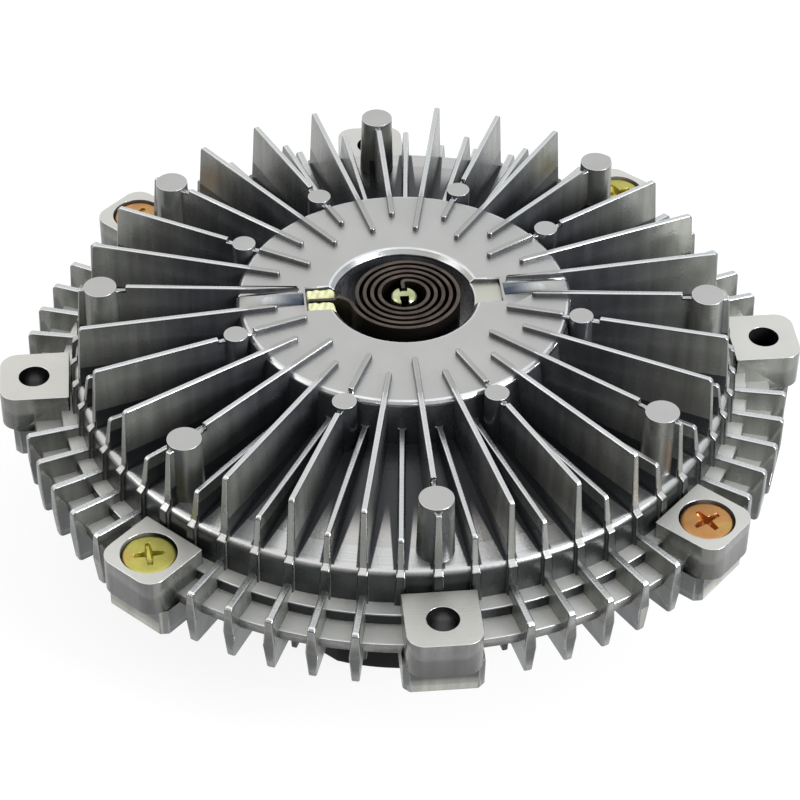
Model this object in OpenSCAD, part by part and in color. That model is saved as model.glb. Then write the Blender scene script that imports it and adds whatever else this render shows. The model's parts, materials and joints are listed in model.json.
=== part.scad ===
// Viscous fan clutch: a finned housing that turns on a shaft, with a fluid coupling inside.
// Millimetres. The origin is the centre of the drive flange's mounting face, and +Z points to the coil.
// Pieces stack upwards from the flange: shaft, bearing, rear body, rotor, divider plate, front cover, coil.

/* [Drive flange and shaft] */
// Outer radius of the flange's four ears
flange_r = 50; // [46:0.5:56]
// Thickness of the flange
flange_t = 8; // [6:0.5:10]
// Bolt circle diameter of the flange
flange_pcd = 80; // [74:1:84]
// Radius of the flange's bolt holes
flange_hole_r = 4.25; // [3.5:0.05:5]
// Angle of the first ear at rest
flange_clock = -8; // [-45:1:45]
// Half width of an ear
ear_half_w = 18; // [16:0.5:20]
// Length of the cut at an ear's corners, along the ear
ear_cut_l = 5.5; // [4:0.25:6]
// Width of the cut at an ear's corners, across the ear
ear_cut_w = 7.6; // [6:0.2:9]
// Radius of the flange's round middle
flange_middle_r = 33; // [31:0.5:36]
// Broken edge of the flange's front face
flange_edge = 2; // [1:0.25:3]
// Radius of the pilot bore in the flange's face
pilot_r = 11; // [8:0.5:13]
// Depth of the pilot bore
pilot_depth = 6; // [3:0.5:8]
// Height of the shaft collar that carries the bearing
collar_h = 6; // [5:0.5:9]
// Radius of the shaft's rotor seat
rotor_seat_r = 9; // [8:0.25:9.5]

/* [Bearing] */
// Outer diameter of the ball bearing
bearing_od = 47; // [44:1:50]
// Bore of the ball bearing
bearing_bore_d = 20; // [19:0.5:22]
// Width of the ball bearing
bearing_w = 14; // [13.5:0.5:17]
// Diameter of a ball
ball_d = 7.94; // [7:0.02:8.2]
// Number of balls
ball_n = 8; // [6:1:8]
// Running gap between a ball and its grooves
ball_gap = 0.1; // [0.05:0.01:0.15]
// Thickness of a race between its face and the shoulder beside the balls
race_t = 4.3; // [4:0.1:4.6]
// Thickness of a bearing seal
seal_t = 0.9; // [0.6:0.1:1.2]
// Thickness of the ring that holds the bearing in the body
bearing_clip_t = 1.75; // [1.2:0.05:2.2]

/* [Rear body] */
// Thickness of the body's floor
body_floor_t = 3.5; // [3:0.25:5]
// Wall of the body's bearing hub
hub_wall = 6.2; // [4.5:0.1:8]
// Height of the shoulder above the bearing
hub_shoulder_t = 2; // [1.5:0.25:4]
// Thickness of the body's fan lugs
body_lug_t = 7; // [5:0.1:8]
// Depth of the body's rim fins below the joint with the cover
body_rim_fin_h = 7.6; // [6:0.1:9]
// Depth of the body's back fins below its floor
back_fin_h = 2; // [1.5:0.1:4]
// Thickness of the rim between the fins
body_rim_t = 2.5; // [2:0.1:4]

/* [Rotor and labyrinth] */
// Outer radius of the rotor
rotor_r = 67; // [64:0.5:69]
// Thickness of the rotor's web
rotor_web_t = 4.5; // [3.5:0.1:6]
// Radius of the rotor's hub
rotor_hub_r = 14; // [12.5:0.25:15.5]
// Height of a labyrinth ring
ring_h = 4; // [3:0.1:5]
// Thickness of a labyrinth ring
ring_t = 1.7; // [1.4:0.05:2.2]
// Side gap between meshing rings
ring_gap = 0.5; // [0.4:0.05:0.7]
// Gap between a ring's tip and the opposite floor
ring_tip_gap = 0.6; // [0.4:0.05:0.9]
// Radius of the first rotor ring
ring_start_r = 36; // [34:0.5:40]
// Number of fluid holes through the rotor
fluid_hole_n = 6; // [4:1:8]
// Radius of a fluid hole
fluid_hole_r = 2.5; // [1.5:0.25:3.5]

/* [Divider plate and valve] */
// Thickness of the divider plate
divider_t = 1.2; // [1:0.1:1.6]
// Distance of the valve port from the axis
port_r = 42; // [38:0.5:46]
// Angle of the valve port and of the closed valve arm
port_angle = 70; // [0:5:355]
// Width of the valve port
port_w = 5; // [3:0.25:6]
// Length of the valve port along the radius
port_l = 8; // [6:0.25:10]
// Number of rivets that hold the divider plate
rivet_n = 4; // [3:1:6]
// Angle of the pump wiper
wiper_angle = 250; // [240:1:258]
// Thickness of the valve arm
arm_t = 1.2; // [0.8:0.1:1.6]
// Width of the valve arm
arm_w = 7; // [5:0.5:9]
// Radius of the valve shaft
valve_shaft_r = 3; // [2.6:0.05:3.4]

/* [Bimetal coil] */
// Thickness of the bimetal strip
strip_t = 0.9; // [0.7:0.05:1]
// Radius of the coil's outer turn
coil_r = 12.4; // [11.8:0.1:12.8]
// Distance between neighbouring turns
coil_pitch = 1.71; // [1.6:0.01:1.74]
// Number of half turns before the hook
coil_half_turns = 9; // [7:2:9]
// Height of the strip
strip_h = 8.7; // [7:0.1:9.5]
// Angle at which the tail joins the outer turn
tail_lead = 15; // [12:1:17]

/* [Front cover] */
// Thickness of the cover's fan lugs
cover_lug_t = 9; // [8.5:0.1:10.5]
// Height of the machined plateau above the lugs
plateau_h = 18.5; // [17.5:0.1:20]
// Radius of the plateau
plateau_r = 38; // [37:0.25:39]
// Radius of the coil pit
pit_r = 16; // [15.5:0.1:17]
// Depth of the coil pit
pit_depth = 10.5; // [10.5:0.1:11.5]
// Height of the floor between the fins at the plateau
floor_in_h = 8; // [7:0.1:9]
// Height of the floor between the fins at the rim
floor_out_h = 4.3; // [3.8:0.1:5]
// Width of the tail slot
slot_w = 8.2; // [6:0.1:9]
// Length of the tail slot outwards from the pit
slot_l = 6.3; // [5:0.1:7]
// Depth of the empty slot across from the tail slot
blank_slot_depth = 1.2; // [0.8:0.1:2]

/* [Fins and posts] */
// Number of tall fins, and of the low fins between them
fin_n = 30; // [30:1:30]
// Height of the tall fins above the lugs
fin_h = 19.8; // [19.3:0.1:21]
// Height of the low fins above the lugs
low_fin_h = 12; // [10.5:0.1:13.5]
// Width of a fin at its top edge
fin_top_w = 1.3; // [1:0.05:1.6]
// Width of a fin at the floor
fin_base_w = 2.2; // [1.8:0.05:2.6]
// Radius where every second tall fin starts
fin_long_r = 24.4; // [23.8:0.1:26]
// Radius where the other tall fins start
fin_short_r = 29.8; // [28:0.1:32]
// Radius of the outer posts' circle
outer_post_r = 69.1; // [66:0.1:69.4]
// Radius of an outer post's top
outer_post_top_r = 3.75; // [3.2:0.05:4.2]
// Height of the outer posts above the lugs
outer_post_h = 19.4; // [18.5:0.1:20.5]
// Radius of the inner posts' circle
inner_post_r = 40.8; // [40:0.1:44]
// Radius of an inner post's top
inner_post_top_r = 2.7; // [2.3:0.05:3.1]
// Height of the inner posts above the lugs
inner_post_h = 19.7; // [18.9:0.1:20.5]
// Growth of a post's radius from its top to its base
post_draft = 0.45; // [0.2:0.05:0.7]
// How far a fin's top is cut back round a post, as a share of the post's top radius
post_clear = 0.55; // [0.4:0.05:0.65]
// Depth of that cut below the post's top
post_clear_d = 0.8; // [0.4:0.1:0.9]

/* [Rim and lugs] */
// Bolt circle diameter of the fan lugs
lug_pcd = 170; // [168:0.5:174]
// Width of a fan lug
lug_w = 16.2; // [15:0.1:17]
// Distance from the bolt circle to a lug's outer end
lug_end = 7.8; // [7:0.1:9]
// Corner radius of a lug
lug_corner_r = 4; // [3:0.25:5]
// Radius of the fan's bolt holes
fan_hole_r = 3.5; // [3.3:0.05:4]
// Width of the rim's first terrace
terrace_in_w = 4.2; // [3.5:0.1:5]
// Width of the rim's second terrace
terrace_out_w = 6; // [5:0.1:6.5]
// Depth of the first terrace below the lugs
terrace_in_d = 4; // [3.5:0.1:4.8]
// Depth of the second terrace below the lugs
terrace_out_d = 6.7; // [6:0.1:7.2]
// Depth of the rim fins' top edge below the lugs
rim_fin_d = 1.7; // [1.2:0.1:2.4]
// Reach of the rim fins beyond the second terrace
rim_fin_over = 2.8; // [2:0.1:3.2]
// Angle between neighbouring rim fins
rim_fin_pitch = 6; // [6:1:6]
// Width of a rim fin at its outer edges
rim_fin_tip_w = 1.6; // [1.3:0.05:2]
// Width of a rim fin at the joint between cover and body
rim_fin_root_w = 2.7; // [2.3:0.05:3]

/* [Cover screws] */
// Radius of a screw's thread
screw_r = 3; // [2.5:0.05:3.05]
// Radius of a screw's head
screw_head_r = 5.9; // [5.2:0.05:5.95]
// Height of a screw's head
screw_head_h = 3.9; // [3.2:0.1:4.1]
// Depth of the pocket that holds a screw's head
screw_pocket_d = 4.3; // [4.2:0.1:4.8]
// Radius of the pocket
screw_pocket_r = 6.15; // [6.1:0.05:6.4]
// Span of the cross recess in a screw's head
cross_l = 5.6; // [4.5:0.1:6.4]
// Width of the cross recess
cross_w = 1.5; // [1:0.05:1.8]
// Depth of the cross recess
cross_d = 1.8; // [1.2:0.1:2.2]

/* [Seals] */
// Thickness of the cover seal's cord
cover_seal_d = 1.8; // [1.5:0.05:2]
// Thickness of the valve shaft seal's cord
shaft_seal_d = 1.7; // [1.4:0.05:1.9]

/* [Clearances] */
// Radial running fit of the valve shaft
shaft_fit = 0.05; // [0.03:0.01:0.09]
// Least gap between pieces that move past each other
free_gap = 0.4; // [0.35:0.01:0.5]
// Gap between the rotor's edge and the chamber wall
rotor_edge_gap = 1.5; // [1:0.1:2]
// Gap between the flange and the body's hub
hub_gap = 2; // [1.5:0.1:3]
// Radial gap round a screw in the cover
screw_fit = 0.1; // [0.08:0.01:0.15]

/* [Hidden] */
$fn = 96;

// Overlap that joins pieces or lets a cut pass right through
eps = 0.5;
// How far a fin or lug reaches into the wall it grows from
bite = 1;
// Share of a broken edge at the middle of its two bevels
edge_share = 0.29;

// Bearing: it stands on the shaft collar
bearing_z = flange_t + collar_h;
bearing_top = bearing_z + bearing_w;
bearing_mid = bearing_z + bearing_w / 2;
bearing_r = bearing_od / 2;
journal_r = bearing_bore_d / 2;
pitch_r = (bearing_r + journal_r) / 2;
ball_r = ball_d / 2;
groove_r = ball_r + ball_gap;
inner_land_r = journal_r + race_t;
outer_land_r = bearing_r - race_t;
collar_r = inner_land_r;
seal_seat_r = outer_land_r + 0.8;
seal_inset = 0.4;
cage_half_h = ball_r + 1;
cage_half_w = 1.4;
cage_in_r = pitch_r - cage_half_w;
cage_out_r = pitch_r + cage_half_w;
pocket_gap = 0.08;

// Retaining rings: groove depth, ring width, ear size and the ear's hole
clip_groove = 1.3;
clip_w = 3.2;
clip_ear_r = 2;
clip_ear_hole_r = 0.9;
clip_gap_angle = 40;

// Rear body, from the bearing hub up to the joint with the cover
hub_r = bearing_r + hub_wall + clip_groove;
hub_bottom = flange_t + hub_gap;
body_floor_z = bearing_top + hub_shoulder_t;
chamber_floor_z = body_floor_z + body_floor_t;
shoulder_r = bearing_r - 3.5;
hub_mouth_r = bearing_r - 1;
corner_run = 8;
corner_rise = 6;
chamber_r = rotor_r + rotor_edge_gap;

// Rotor: web above the meshing rings, hub on the bearing's inner race
web_z = chamber_floor_z + ring_h + ring_tip_gap;
web_top = web_z + rotor_web_t;
rim_step = 1.5;
rim_step_w = 9;
rim_step_r = rotor_r - rim_step_w;
rotor_hub_top = web_top - 2.1;
rotor_clip_t = 1.2;
rotor_clip_w = 1.6;
shaft_top = rotor_hub_top + rotor_clip_t + 1.3;
ring_pitch = 2 * (ring_t + ring_gap);
ring_n = floor((rotor_r - 2 - ring_start_r - ring_pitch / 2) / ring_pitch) + 1;
fluid_hole_circle = (rotor_hub_r + ring_start_r) / 2;

// Joint plane between body and cover, and the divider plate just above it
split_z = web_top + free_gap;
divider_z = split_z + 0.8;
divider_top = divider_z + divider_t;
divider_r = rotor_r - 1;
divider_fit = 0.3;
ledge_r = divider_r - 8;
rivet_circle = (divider_r + ledge_r) / 2;
rivet_first = 30;
rivet_r = 1.5;
rivet_head_r = 2.8;
rivet_head_h = 0.8;
rivet_l = 4;
pump_hole_r = 1.4;
pump_slot_h = 3;
pump_hole_angle = wiper_angle + 8;
wiper_w = 10;
wiper_peg_r = 1.5;

// Valve: arm above the plate, shaft up through the cover
arm_z = divider_top + free_gap;
arm_top = arm_z + arm_t;
arm_pad_w = port_w + 5;
arm_pad_l = port_l + 4;
arm_eye_r = 6;
arm_seat_r = valve_shaft_r - 0.8;

// Cover heights, measured up from the lugs' top face
lug_z = split_z + cover_lug_t;
plateau_z = lug_z + plateau_h;
pit_floor = plateau_z - pit_depth;
ceiling_z = lug_z + 0.5;
pocket_z = plateau_z - 5;
web_bottom = pit_floor - 3.5;
boss_r = 8;
boss_bottom = ceiling_z - 2.5;
pocket_in_r = pit_r + slot_l + 3.7;
pocket_out_r = plateau_r - 4;
pit_edge = 1.2;
plateau_edge = 0.8;
plateau_foot = 1.5;
scoop_r = 3;
scoop_tilt = 5;
scoop_start_d = 1;
seal_groove_w = shaft_seal_d + 0.3;
shaft_bore_r = valve_shaft_r + shaft_fit;
valve_clip_t = 0.8;
valve_clip_w = 2.2;
valve_clip_groove = 0.6;
valve_clip_mouth = 1.4 * valve_shaft_r;
thrust_collar_r = valve_shaft_r + 1.2;
thrust_collar_h = 1.2;
pin_top = plateau_z - 0.1;

// Coil: half rings whose centres step by half a pitch, each drawn with a number of straight steps
arc_n = 18;
half_turn = 180;
strip_top = plateau_z + 0.3;
strip_z = strip_top - strip_h;
tail_bend_r = coil_r * sin(tail_lead) / (1 - sin(tail_lead));
tail_start_x = -coil_r * cos(tail_lead) - tail_bend_r * cos(tail_lead);
slot_end = pit_r + slot_l;
tail_end = slot_end - 0.7;
hook_r = coil_pitch / 2;
hook_turn_r = coil_r - coil_half_turns * hook_r;
hook_y = hook_turn_r - hook_r;
stake_r = 0.45 * valve_shaft_r;
stake_h = 0.8;
hook_end_y = stake_r + free_gap;
pin_slot_w = strip_t + 2 * free_gap;
slot_bottom = strip_z - 1;
sealant_top = plateau_z - 0.2;

// Rim radii outwards from the chamber
seal_cord_r = cover_seal_d / 2;
cover_seal_r = chamber_r + 2.5 + seal_cord_r;
body_wall_r = cover_seal_r + seal_cord_r + 1;
cover_wall_r = body_wall_r + 1.8;
fin_out_r = cover_wall_r - 1.6;
fin_foot_r = cover_wall_r - 0.6;
terrace_in_r = cover_wall_r + terrace_in_w;
terrace_out_r = terrace_in_r + terrace_out_w;
rim_fin_r = terrace_out_r + rim_fin_over;
body_rim_r = terrace_out_r - 4.2;
back_fin_r = body_wall_r + 0.8;
lug_r = lug_pcd / 2;
lug_out_r = lug_r + lug_end;
lug_in_r = cover_wall_r + 1.4;
lug_step = 6;
lug_set_back = 2.5;
body_lug_w = lug_w + 1.2;
body_lug_cut = 1.4;
wall_draft = 0.5;
body_fin_cut = 0.7;
cover_fin_cut = 0.7;
shelf_edge = 2;
shelf_edge_n = 4;
rib_proud = 0.9;
rib_low = lug_z - terrace_in_d - bite;
rib_root_r = cover_wall_r - 3;
fin_embed = 2.4;
fin_edge = 0.6;
fin_root_w = fin_base_w + 0.4;
fin_nose_r = fin_top_w / 2 + 0.05;
low_bead_r = 0.8 * fin_top_w;

// Screw heads: broken edge, and how far the cross is turned
screw_edge = 0.7;
cross_turn = 30;

// Angles: tall fins sit half a step off the lugs; posts and rim fins count from those
fin_step = 360 / fin_n;
fin_first = fin_step / 2;
outer_post_steps = [-12, -8, -4, -1, 3, 7, 11, 14];
inner_post_steps = [-14, -10, -6, -2, 2, 5, 9, 12];
lug_n = 8;
lug_angle = 360 / lug_n;
rim_fin_first = [12, 9];
rim_fins_per_gap = 5;

module ring(r_in, r_out, z0, z1) {
  rotate_extrude()
    translate([r_in, z0])
      square([r_out - r_in, z1 - z0]);
}

module torus(r, cord_r, z) {
  translate([0, 0, z])
    rotate_extrude()
      translate([r, 0])
        circle(r = cord_r);
}

// Closed outline of points (radius, height), turned round the axis
module turned(points) {
  rotate_extrude()
    polygon(points);
}

// Plate along +X: an outline of (radius, height) points, with sides that narrow from z0 to z1
module drafted_fin(points, w0, z0, w1, z1) {
  intersection() {
    rotate([90, 0, 0])
      linear_extrude(height = 2 * max(w0, w1), center = true)
        polygon(points);
    rotate([90, 0, 90])
      linear_extrude(height = lug_out_r)
        polygon([[-w0 / 2, z0], [w0 / 2, z0], [w1 / 2, z1], [-w1 / 2, z1]]);
  }
}

// Lug outline along +X: square inside, two round corners outside
module lug_outline(r_in, r_out, w, corner) {
  translate([r_in, -w / 2])
    square([r_out - corner - r_in, w]);
  translate([r_in, corner - w / 2])
    square([r_out - r_in, w - 2 * corner]);
  for (side = [-1, 1])
    translate([r_out - corner, side * (w / 2 - corner)])
      circle(r = corner);
}

// Body lug outline along +X: two cut corners outside
module body_lug_outline() {
  r_out = lug_out_r - lug_set_back;
  half_w = body_lug_w / 2;
  polygon([[body_wall_r - bite, -half_w], [r_out - body_lug_cut, -half_w], [r_out, body_lug_cut - half_w],
    [r_out, half_w - body_lug_cut], [r_out - body_lug_cut, half_w], [body_wall_r - bite, half_w]]);
}

// Points along an arc, without its last one
function arc(cx, cy, r, a0, a1, n = arc_n) =
  [for (i = [0:n - 1]) let (a = a0 + (a1 - a0) * i / n) [cx + r * cos(a), cy + r * sin(a)]];

// Open retaining ring with two eared ends; ears sit at radius ear_r
module open_clip(r_in, r_out, ear_r, t) {
  difference() {
    union() {
      difference() {
        ring(r_in, r_out, 0, t);
        rotate([0, 0, -clip_gap_angle / 2])
          rotate_extrude(angle = clip_gap_angle)
            translate([r_in - eps, -eps])
              square([r_out - r_in + 2 * eps, t + 2 * eps]);
      }
      for (side = [-1, 1])
        rotate([0, 0, side * clip_gap_angle / 2])
          translate([ear_r, 0, 0])
            cylinder(r = clip_ear_r, h = t);
    }
    for (side = [-1, 1])
      rotate([0, 0, side * clip_gap_angle / 2])
        translate([ear_r, 0, -eps])
          cylinder(r = clip_ear_hole_r, h = t + 2 * eps);
  }
}

// One flange ear along +X: straight sides and cut corners; the flange's round profile ends it
module ear_outline() {
  polygon([[0, -ear_half_w], [flange_r - ear_cut_l, -ear_half_w], [flange_r, ear_cut_w - ear_half_w],
    [flange_r + eps, 0], [flange_r, ear_half_w - ear_cut_w], [flange_r - ear_cut_l, ear_half_w],
    [0, ear_half_w]]);
}

module drive_shaft() {
  color("#16171a")
    difference() {
      union() {
        intersection() {
          linear_extrude(height = flange_t) {
            circle(r = flange_middle_r);
            for (i = [0:3])
              rotate(flange_clock + 90 * i)
                ear_outline();
          }
          turned([[0, 0], [flange_r, 0], [flange_r, flange_t - flange_edge],
            [flange_r - edge_share * flange_edge, flange_t - edge_share * flange_edge],
            [flange_r - flange_edge, flange_t], [0, flange_t]]);
        }
        cylinder(r = collar_r, h = bearing_z);
        cylinder(r = journal_r, h = bearing_top);
        cylinder(r = rotor_seat_r, h = shaft_top - eps);
        translate([0, 0, shaft_top - eps])
          cylinder(r1 = rotor_seat_r, r2 = rotor_seat_r - eps, h = eps);
      }
      translate([0, 0, -eps])
        cylinder(r = pilot_r, h = pilot_depth + eps);
      for (i = [0:3])
        rotate([0, 0, flange_clock + 90 * i])
          translate([flange_pcd / 2, 0, -eps])
            cylinder(r = flange_hole_r, h = flange_t + 2 * eps);
      ring(rotor_seat_r - clip_groove / 2, rotor_seat_r + eps, rotor_hub_top, rotor_hub_top + rotor_clip_t);
    }
}

module bearing_inner_race() {
  color("#b9bcc0")
    difference() {
      ring(journal_r, inner_land_r, bearing_z, bearing_top);
      torus(pitch_r, groove_r, bearing_mid);
    }
}

module bearing_outer_race() {
  color("#aeb2b7")
    difference() {
      ring(outer_land_r, bearing_r, bearing_z, bearing_top);
      torus(pitch_r, groove_r, bearing_mid);
      ring(outer_land_r - eps, seal_seat_r, bearing_z - eps, bearing_z + seal_inset + seal_t);
      ring(outer_land_r - eps, seal_seat_r, bearing_top - seal_inset - seal_t, bearing_top + eps);
    }
}

module bearing_balls() {
  color("#d7dadd")
    for (i = [0:ball_n - 1])
      rotate([0, 0, 360 * i / ball_n])
        translate([pitch_r, 0, bearing_mid])
          sphere(r = ball_r);
}

module bearing_cage() {
  color("#b08d3c")
    difference() {
      ring(cage_in_r, cage_out_r, bearing_mid - cage_half_h, bearing_mid + cage_half_h);
      for (i = [0:ball_n - 1])
        rotate([0, 0, 360 * i / ball_n])
          translate([pitch_r, 0, bearing_mid])
            sphere(r = ball_r + pocket_gap);
    }
}

module bearing_front_seal() {
  color("#3a2a22")
    ring(inner_land_r + free_gap, seal_seat_r, bearing_top - seal_inset - seal_t, bearing_top - seal_inset);
}

module bearing_rear_seal() {
  color("#3a2a22")
    ring(inner_land_r + free_gap, seal_seat_r, bearing_z + seal_inset, bearing_z + seal_inset + seal_t);
}

module bearing_clip() {
  color("#3d4146")
    translate([0, 0, bearing_z - bearing_clip_t])
      open_clip(bearing_r + clip_groove - clip_w, bearing_r + clip_groove, bearing_r - clip_ear_r,
        bearing_clip_t);
}

// Body rim fin along +X: widest at the joint, with a chamfered lower outer corner
module body_rim_fin() {
  low = split_z - body_rim_fin_h;
  drafted_fin([[body_wall_r - eps, split_z], [rim_fin_r, split_z],
    [rim_fin_r - wall_draft, low + body_fin_cut], [rim_fin_r - wall_draft - body_fin_cut, low],
    [body_wall_r - eps, low]],
    rim_fin_tip_w, low, rim_fin_root_w, split_z);
}

// Back fin along +X: from the bearing hub to the body's wall
module back_fin() {
  low = body_floor_z - back_fin_h;
  drafted_fin([[hub_r - bite, body_floor_z + bite], [body_wall_r - corner_run, body_floor_z + bite],
    [body_wall_r - bite, split_z - body_rim_t], [back_fin_r, split_z - body_rim_t],
    [back_fin_r - wall_draft, low], [hub_r - bite, low]],
    fin_top_w, low, fin_base_w, split_z);
}

module rear_body() {
  color("#9fa4a8")
    difference() {
      union() {
        turned([[shoulder_r, hub_bottom], [hub_r, hub_bottom], [hub_r, body_floor_z],
          [body_wall_r - corner_run, body_floor_z], [body_wall_r, body_floor_z + corner_rise],
          [body_wall_r, split_z - body_rim_t], [body_rim_r, split_z - body_rim_t],
          [body_rim_r, split_z], [chamber_r, split_z], [chamber_r, chamber_floor_z],
          [shoulder_r, chamber_floor_z]]);
        for (i = [0:ring_n - 1])
          ring(ring_start_r + ring_pitch * (i + 0.5) - ring_t / 2,
            ring_start_r + ring_pitch * (i + 0.5) + ring_t / 2,
            chamber_floor_z - eps, chamber_floor_z + ring_h);
        for (k = [0:lug_n - 1])
          rotate([0, 0, lug_angle * k]) {
            translate([0, 0, split_z - body_lug_t])
              linear_extrude(height = body_lug_t)
                body_lug_outline();
            for (j = [0:rim_fins_per_gap - 1])
              rotate([0, 0, rim_fin_first[k % 2] + rim_fin_pitch * j])
                body_rim_fin();
          }
        for (i = [0:fin_n - 1])
          rotate([0, 0, fin_first + fin_step * i])
            back_fin();
      }
      translate([0, 0, bearing_z])
        cylinder(r = bearing_r, h = bearing_w);
      ring(0, hub_mouth_r, hub_bottom - eps, bearing_z);
      ring(hub_mouth_r - eps, bearing_r + clip_groove, bearing_z - bearing_clip_t, bearing_z);
      ring(cover_seal_r - seal_cord_r, cover_seal_r + seal_cord_r, split_z - cover_seal_d, split_z + eps);
      for (k = [0:lug_n - 1])
        rotate([0, 0, lug_angle * k])
          translate([lug_r, 0, split_z - body_lug_t - eps])
            cylinder(r = k % 2 == 0 ? fan_hole_r : screw_r, h = body_lug_t + 2 * eps);
    }
}

module rotor() {
  color("#8d9297")
    difference() {
      union() {
        turned([[rotor_seat_r, bearing_top], [rotor_hub_r, bearing_top], [rotor_hub_r, web_z],
          [rotor_r, web_z], [rotor_r, web_top - rim_step], [rim_step_r, web_top - rim_step],
          [rim_step_r, web_top], [rotor_hub_r, web_top], [rotor_hub_r, rotor_hub_top],
          [rotor_seat_r, rotor_hub_top]]);
        for (i = [0:ring_n - 1])
          ring(ring_start_r + ring_pitch * i - ring_t / 2, ring_start_r + ring_pitch * i + ring_t / 2,
            web_z - ring_h, web_z + eps);
      }
      for (i = [0:fluid_hole_n - 1])
        rotate([0, 0, 360 * i / fluid_hole_n])
          translate([fluid_hole_circle, 0, web_z - eps])
            cylinder(r = fluid_hole_r, h = rotor_web_t + 2 * eps);
    }
}

module rotor_clip() {
  color("#3d4146")
    translate([0, 0, rotor_hub_top])
      open_clip(rotor_seat_r - clip_groove / 2, rotor_seat_r + rotor_clip_w,
        rotor_seat_r + rotor_clip_w, rotor_clip_t);
}

module divider_plate() {
  color("#c2c5c4")
    difference() {
      translate([0, 0, divider_z])
        cylinder(r = divider_r, h = divider_t);
      rotate([0, 0, port_angle])
        translate([port_r - port_l / 2, -port_w / 2, divider_z - eps])
          cube([port_l, port_w, divider_t + 2 * eps]);
      for (i = [0:rivet_n - 1])
        rotate([0, 0, rivet_first + 360 * i / rivet_n])
          translate([rivet_circle, 0, divider_z - eps])
            cylinder(r = rivet_r, h = divider_t + 2 * eps);
      rotate([0, 0, wiper_angle])
        translate([rivet_circle, 0, divider_z - eps])
          cylinder(r = wiper_peg_r, h = divider_t + 2 * eps);
      rotate([0, 0, pump_hole_angle])
        translate([rivet_circle, 0, divider_z - eps])
          cylinder(r = pump_hole_r, h = divider_t + 2 * eps);
    }
}

module divider_rivets() {
  color("#a9adb0")
    for (i = [0:rivet_n - 1])
      rotate([0, 0, rivet_first + 360 * i / rivet_n])
        translate([rivet_circle, 0, divider_z - rivet_head_h]) {
          cylinder(r1 = rivet_head_r - rivet_head_h / 2, r2 = rivet_head_r, h = rivet_head_h);
          cylinder(r = rivet_r, h = rivet_head_h + divider_t + rivet_l);
        }
}

module pump_wiper() {
  low = web_top - rim_step + free_gap;
  color("#2f3237")
    rotate([0, 0, wiper_angle]) {
      translate([rim_step_r + bite, -wiper_w / 2, low])
        cube([divider_r - rim_step_r - 2 * bite, wiper_w, divider_z - low]);
      translate([rivet_circle, 0, low])
        cylinder(r = wiper_peg_r, h = divider_top - low);
    }
}

module valve_arm() {
  color("#b4b7b5")
    translate([0, 0, arm_z])
      linear_extrude(height = arm_t)
        difference() {
          rotate(port_angle)
            union() {
              circle(r = arm_eye_r);
              translate([0, -arm_w / 2])
                square([port_r, arm_w]);
              translate([port_r - arm_pad_l / 2, -arm_pad_w / 2])
                square([arm_pad_l, arm_pad_w]);
            }
          circle(r = arm_seat_r);
        }
}

module valve_shaft() {
  color("#c3bd6a") {
    translate([0, 0, pin_top - stake_h])
      cylinder(r = stake_r, h = stake_h);
    difference() {
      union() {
        translate([0, 0, arm_z])
          cylinder(r = arm_seat_r, h = arm_t + eps);
        translate([0, 0, arm_top])
          cylinder(r = valve_shaft_r, h = pin_top - arm_top - eps);
        translate([0, 0, pin_top - eps])
          cylinder(r1 = valve_shaft_r, r2 = valve_shaft_r - eps, h = eps);
        translate([0, 0, pit_floor + free_gap])
          cylinder(r = thrust_collar_r, h = thrust_collar_h);
      }
      translate([-pin_slot_w / 2, -valve_shaft_r - eps, strip_z - free_gap])
        cube([pin_slot_w, 2 * (valve_shaft_r + eps), strip_h + 2 * eps]);
      ring(valve_shaft_r - valve_clip_groove, valve_shaft_r + eps,
        boss_bottom - free_gap - valve_clip_t, boss_bottom - free_gap);
    }
  }
}

module valve_clip() {
  color("#3d4146")
    translate([0, 0, boss_bottom - free_gap - valve_clip_t])
      difference() {
        ring(valve_shaft_r - valve_clip_groove, valve_shaft_r + valve_clip_w, 0, valve_clip_t);
        translate([0, -valve_clip_mouth / 2, -eps])
          cube([2 * (valve_shaft_r + valve_clip_w), valve_clip_mouth, valve_clip_t + 2 * eps]);
      }
}

module shaft_seal() {
  color("#1d1d1f")
    torus(shaft_bore_r + shaft_seal_d / 2, shaft_seal_d / 2, (boss_bottom + pit_floor) / 2);
}

module cover_seal() {
  color("#1d1d1f")
    torus(cover_seal_r, seal_cord_r, split_z - seal_cord_r);
}

// Height of the floor between the fins at a radius
function floor_at(r) =
  lug_z + floor_in_h + (floor_out_h - floor_in_h) * (r - plateau_r) / (cover_wall_r - plateau_r);

// Outer end of a fin: a rib down the rim's wall, a step over the shelf's edge, and the end up to its top
function fin_end(top) =
  let (edge_z = lug_z + floor_out_h)
  [[rib_root_r, floor_at(rib_root_r) - fin_embed], [rib_root_r, rib_low],
    [cover_wall_r + wall_draft + rib_proud, rib_low], [cover_wall_r + rib_proud, edge_z - shelf_edge],
    [fin_foot_r, edge_z + fin_edge / 2], [fin_out_r, top - fin_edge], [fin_out_r - fin_edge, top]];

// Tall fin along +X, rooted in the plateau and in the floor, with a round nose
module tall_fin(r_start) {
  top = lug_z + fin_h;
  low = plateau_z - fin_embed;
  drafted_fin(concat([[r_start, top], [r_start, low], [plateau_r - bite, low],
    [plateau_r + 2 * bite, floor_at(plateau_r) - fin_embed]], fin_end(top)),
    fin_root_w, rib_low, fin_top_w, top);
  translate([r_start, 0, low])
    cylinder(r = fin_nose_r, h = top - low);
}

// Low fin along +X, with a bead at its inner end
module low_fin() {
  top = lug_z + low_fin_h;
  r_start = plateau_r + bite / 2;
  low = floor_at(r_start) - fin_embed;
  drafted_fin(concat([[r_start, top], [r_start, low]], fin_end(top)), fin_root_w, rib_low, fin_top_w, top);
  translate([r_start, 0, low])
    cylinder(r = low_bead_r, h = top - low);
}

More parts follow.
